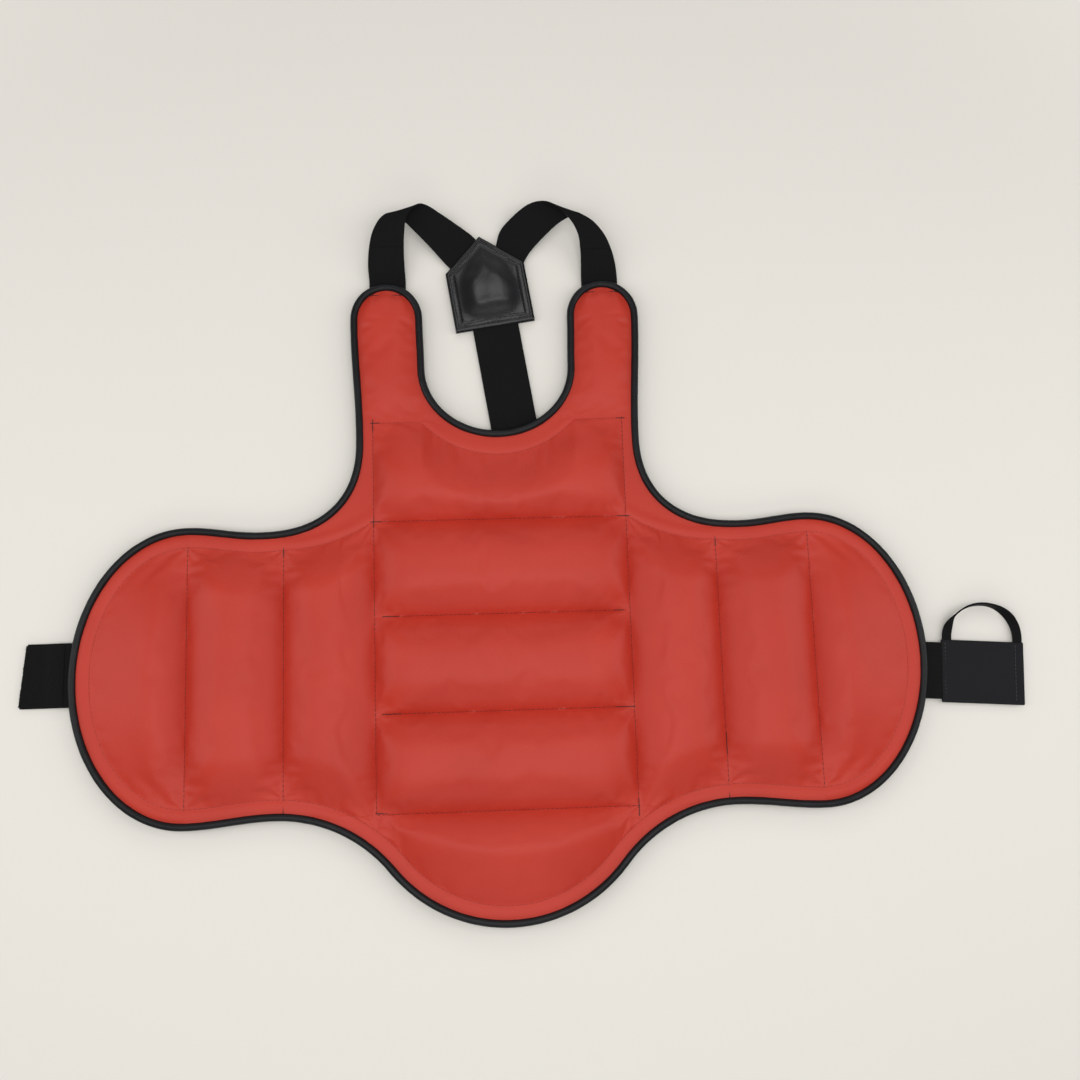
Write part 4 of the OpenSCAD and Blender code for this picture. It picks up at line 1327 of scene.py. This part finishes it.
class PROTECTOR_OT_waist(bpy.types.Operator):
    """Model the waist straps, the closing tab and its loop"""
    bl_idname = "protector.waist"
    bl_label = "Waist closure"

    def execute(self, context):
        self.left_side()
        self.right_side()
        return {"FINISHED"}

    def left_side(self):
        fold = joint_place("left_strap_fold")
        low = node_low("left_waist_strap").z + WEBBING_T / 2

        def reach(across):
            """The length of the strap, whose cut end slants and frays."""
            return 32.8 - 2.4 * across / 25 + 0.6 * noise.noise((across / 2.5, 1, 8))

        def place(u, v):
            across = mix(-WAIST_W / 2, WAIST_W / 2, u)
            s = mix(-WAIST_SEWN, reach(across), v)
            return fold.x - s, fold.y + across, mix(fold.z, low, ease((s - 1) / 18))

        piece = strap("waist_elastic_left", 26, 40, place, (WAIST_W, 52))
        dress(piece, finish("woven_elastic"), ["anchor_left_waist", "left_waist_strap"])
        bend(piece, "left_wing_end", "left_waist", fold + Vector((1, 0, 0)), fold + Vector((-5, 0, 0)))

        def pile_place(u, v):
            across = mix(1.2 - WAIST_W / 2, WAIST_W / 2 - 1.2, u)
            across += 0.4 * noise.noise((across, v * 20, 3))
            s = mix(1, reach(across) + 0.5, v)
            rough = 0.35 * noise.noise((across / 1.5, s / 1.5, 2))
            z = mix(fold.z, low, ease((s - 1) / 18)) + WEBBING_T / 2 + 0.7 * ease((s - 1) / 12) + rough
            return fold.x - s, fold.y + across, z

        piece = strap("waist_pile_left", 60, 30, pile_place, (WAIST_W, 22), 1.2, 0.2)
        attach(dress(piece, finish("loop_pile"), ["left_loop_tape"]), "left_waist")

    def right_side(self):
        fold = joint_place("right_strap_fold")
        turn = Matrix.Rotation(math.radians(-4), 3, "Z")
        tab_high = node_high("right_tab").z
        tab_low = node_high("right_hook_tape").z
        middle = (tab_high + tab_low) / 2
        start = 9.0
        length = 67.0

        def local(s, across, z):
            at = turn @ Vector((s, across, 0))
            return fold.x + at.x, fold.y + at.y, z

        def elastic_place(u, v):
            s = mix(-WAIST_SEWN, start + 4, v)
            across = mix(-RIGHT_WAIST_W / 2, RIGHT_WAIST_W / 2, 1 - u)
            gather = 0.22 * math.sin(across * 1.5 + noise.noise((across / 6, 0, 1))) * ease((s + 2) / 4)
            z = mix(fold.z, middle, ease((s - 1) / 8)) + gather * ease((start + 2 - s) / 3)
            return local(s, across, z)

        piece = strap("waist_elastic_right", 60, 30, elastic_place, (RIGHT_WAIST_W, 30))
        dress(piece, finish("woven_elastic"), ["anchor_right_waist", "right_elastic"])
        bend(piece, "right_wing_end", "right_waist", local(-1, 0, fold.z), local(5, 0, fold.z))

        def tab_place(u, v):
            s = start + v * length
            across = mix(-WAIST_W / 2, WAIST_W / 2, 1 - u)
            crease = math.exp(-((s - start - length + 7) / 1.2) ** 2)
            wave = 0.35 * noise.noise((s / 22, across / 22, 3)) - 0.35 * crease
            return local(s, across, tab_high - 0.3 + wave)

        piece = grid_piece("closing_tab", 40, 54, tab_place, (WAIST_W, length))
        modify(piece, "SOLIDIFY", thickness=(tab_high - tab_low - 0.4) * MM, offset=-1)
        modify(piece, "BEVEL", width=0.9 * MM, segments=3, angle_limit=math.radians(60))
        smooth(piece)
        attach(dress(piece, finish("nylon_tab"), ["right_tab"]), "right_waist")
        line = steps(3 - WAIST_W / 2, WAIST_W / 2 - 3, 12)
        ends = (start + 3, start + length - 7)
        paths = [[local(s, across, tab_high - 0.45) for across in line] for s in ends]
        strap_stitches(paths, "tab_stitches", "right_waist")
        tape_low = node_low("right_hook_tape").z

        def tape_place(u, v):
            z = (tape_low + tab_low) / 2
            across = mix(-RIGHT_WAIST_W / 2, RIGHT_WAIST_W / 2, 1 - u)
            return local(mix(start + 2.5, start + length - 2.5, v), across, z)

        flat = (RIGHT_WAIST_W, length - 5)
        piece = strap("tab_hooks", 24, 30, tape_place, flat, tab_low - tape_low, 0.2)
        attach(dress(piece, finish("hook_tape"), ["right_hook_tape"]), "right_waist")
        self.tab_loop(local, start + length / 2, middle)

    def tab_loop(self, local, centre, z):
        """A narrow ribbon that leaves the tab flat and stands on its edge round the top."""
        foot = WAIST_W / 2 + 1.2
        half = 28.75
        high = 27.2
        band = 7.5

        def middle_line(v):
            if v < 0.08:
                return Vector((-half, mix(foot - 7, foot + 1.2, v / 0.08)))
            if v > 0.92:
                return Vector((half, mix(foot - 7, foot + 1.2, (1 - v) / 0.08)))
            angle = math.pi * (1 - (v - 0.08) / 0.84)
            return Vector((half * math.cos(angle), foot + 1.2 + high * math.sin(angle)))

        def place(u, v):
            at = middle_line(v)
            ahead = (middle_line(min(1, v + 0.01)) - middle_line(max(0, v - 0.01))).normalized()
            outward = Vector((-ahead.y, ahead.x))
            upright = math.radians(82) * ease((v - 0.1) / 0.2) * ease((0.93 - v) / 0.4)
            spread = (u - 0.5) * band
            at = at + outward * spread * math.cos(upright)
            return local(centre + at.x, at.y, z + 2.6 * math.sin(upright) + spread * math.sin(upright))

        piece = strap("loop_ribbon", 6, 90, place, (band, 120), 1.2, 0.25)
        dress(piece, finish("woven_elastic"), ["tab_loop"])
        bend(piece, "right_waist", "loop", local(centre, foot - 1, z), local(centre, foot + 3.5, z))


class PROTECTOR_OT_stage(bpy.types.Operator):
    """Set the floor, the light and the photograph's camera"""
    bl_idname = "protector.stage"
    bl_label = "Stage"

    def execute(self, context):
        bpy.ops.object.select_all(action="DESELECT")
        bpy.ops.mesh.primitive_plane_add(size=2, location=(0, 0, -0.0006))
        floor = context.object
        floor.name = "floor"
        bpy.ops.object.transform_apply(location=True, rotation=True, scale=True)
        floor.data.materials.append(floor_finish())
        floor.visible_shadow = False
        # Name, place, width and height in metres, and power in watts
        lamps = (
            ("lamp_above", (0.0, -0.2, 1.35), (1.3, 1.0), 9.4),
            ("lamp_left", (-1.2, 0.1, 0.8), (0.7, 1.3), 6.4),
            ("lamp_right", (1.2, 0.1, 0.8), (0.7, 1.3), 6.4),
            ("lamp_top", (0.0, 1.5, 1.0), (1.6, 0.7), 4.5),
            ("lamp_bottom", (0.0, -1.5, 0.9), (1.6, 0.7), 5),
            ("lamp_over", (0.06, 0.82, 1.5), (0.32, 0.2), 1.3),
            ("lamp_under", (0.0, 0.0, -1.4), (1.6, 1.6), 20),
        )
        for name, place, spread, power in lamps:
            bpy.ops.object.light_add(type="AREA", location=place)
            lamp = context.object
            lamp.name = name
            aim = LAMP_TARGET - Vector(place)
            lamp.rotation_euler = aim.to_track_quat("-Z", "Y").to_euler()
            lamp.data.shape = "RECTANGLE"
            lamp.data.size, lamp.data.size_y = spread
            lamp.data.energy = power
        context.scene.world = soft_white()
        bpy.ops.object.camera_add()
        camera = context.object
        camera.name = "photo_camera"
        turn = Matrix((CAMERA_RIGHT, CAMERA_UP, CAMERA_BACK)).transposed().to_4x4()
        camera.matrix_world = Matrix.Translation(CAMERA_PLACE * MM) @ turn
        camera.data.sensor_width = 36
        camera.data.lens = CAMERA_LENS
        context.scene.camera = camera
        context.scene.view_settings.view_transform = "Standard"
        return {"FINISHED"}


def floor_finish():
    """Pale matte paint that fades into the backdrop.

    It is clear from below, and over what folds below it."""
    made = Finish("pale_floor", roughness=0.9, base_color=colours().floor)
    tree = made.tree
    place = add_node(tree, "TexCoord").outputs["Object"]
    reach = add_node(tree, "VectorMath", None, {0: place}, operation="LENGTH").outputs["Value"]
    far = add_node(tree, "MapRange", {"From Min": 0.55, "From Max": 0.9}, {"Value": reach},
                   interpolation_type="SMOOTHSTEP").outputs["Result"]
    below = add_node(tree, "AmbientOcclusion", {"Distance": 0.5}, samples=8, inside=True).outputs["AO"]
    open_range = {"From Min": 0.99, "From Max": 0.9}
    near = add_node(tree, "MapRange", open_range, {"Value": below}).outputs["Result"]
    share = add_node(tree, "Math", None, {0: far, 1: near}, operation="MAXIMUM").outputs["Value"]
    under = add_node(tree, "NewGeometry").outputs["Backfacing"]
    share = add_node(tree, "Math", None, {0: share, 1: under}, operation="MAXIMUM").outputs["Value"]
    clear = add_node(tree, "BsdfTransparent").outputs["BSDF"]
    both = add_node(tree, "MixShader", None, {0: share, 1: made.shader.outputs["BSDF"], 2: clear})
    tree.links.new(both.outputs["Shader"], tree.nodes["Material Output"].inputs["Surface"])
    return made.material


def soft_white():
    """White light from all round, behind a backdrop that shows the floor's colour to the camera."""
    world = bpy.data.worlds.new("soft_white")
    world.use_nodes = True
    tree = world.node_tree
    light = tree.nodes["Background"]
    light.inputs["Color"].default_value = (1, 1, 1, 1)
    light.inputs["Strength"].default_value = 0.14
    pale = add_node(tree, "Background", {"Color": colours().floor, "Strength": 1.0})
    seen = add_node(tree, "LightPath").outputs["Is Camera Ray"]
    both = add_node(tree, "MixShader", None, {0: seen, 1: light.outputs[0], 2: pale.outputs[0]})
    tree.links.new(both.outputs["Shader"], tree.nodes["World Output"].inputs["Surface"])
    return world


class PROTECTOR_PT_panel(bpy.types.Panel):
    """Lists the operators in the order in which they run"""
    bl_label = "Chest Protector"
    bl_space_type = "VIEW_3D"
    bl_region_type = "UI"
    bl_category = "Protector"

    def draw(self, context):
        for operator in OPERATORS:
            self.layout.operator(operator.bl_idname)


OPERATORS = (
    PROTECTOR_OT_stage,
    PROTECTOR_OT_covers,
    PROTECTOR_OT_linings,
    PROTECTOR_OT_foams,
    PROTECTOR_OT_bindings,
    PROTECTOR_OT_stitches,
    PROTECTOR_OT_back_strap,
    PROTECTOR_OT_waist,
)
CLASSES = (ProtectorSizes, ProtectorColours, *OPERATORS, PROTECTOR_PT_panel)


def register():
    for kind in CLASSES:
        bpy.utils.register_class(kind)
    bpy.types.Scene.protector_sizes = bpy.props.PointerProperty(type=ProtectorSizes)
    bpy.types.Scene.protector_colours = bpy.props.PointerProperty(type=ProtectorColours)


def unregister():
    del bpy.types.Scene.protector_colours
    del bpy.types.Scene.protector_sizes
    for kind in reversed(CLASSES):
        bpy.utils.unregister_class(kind)


def main():
    register()
    for operator in OPERATORS:
        group, action = operator.bl_idname.split(".")
        getattr(getattr(bpy.ops, group), action)()


if __name__ == "__main__":
    main()
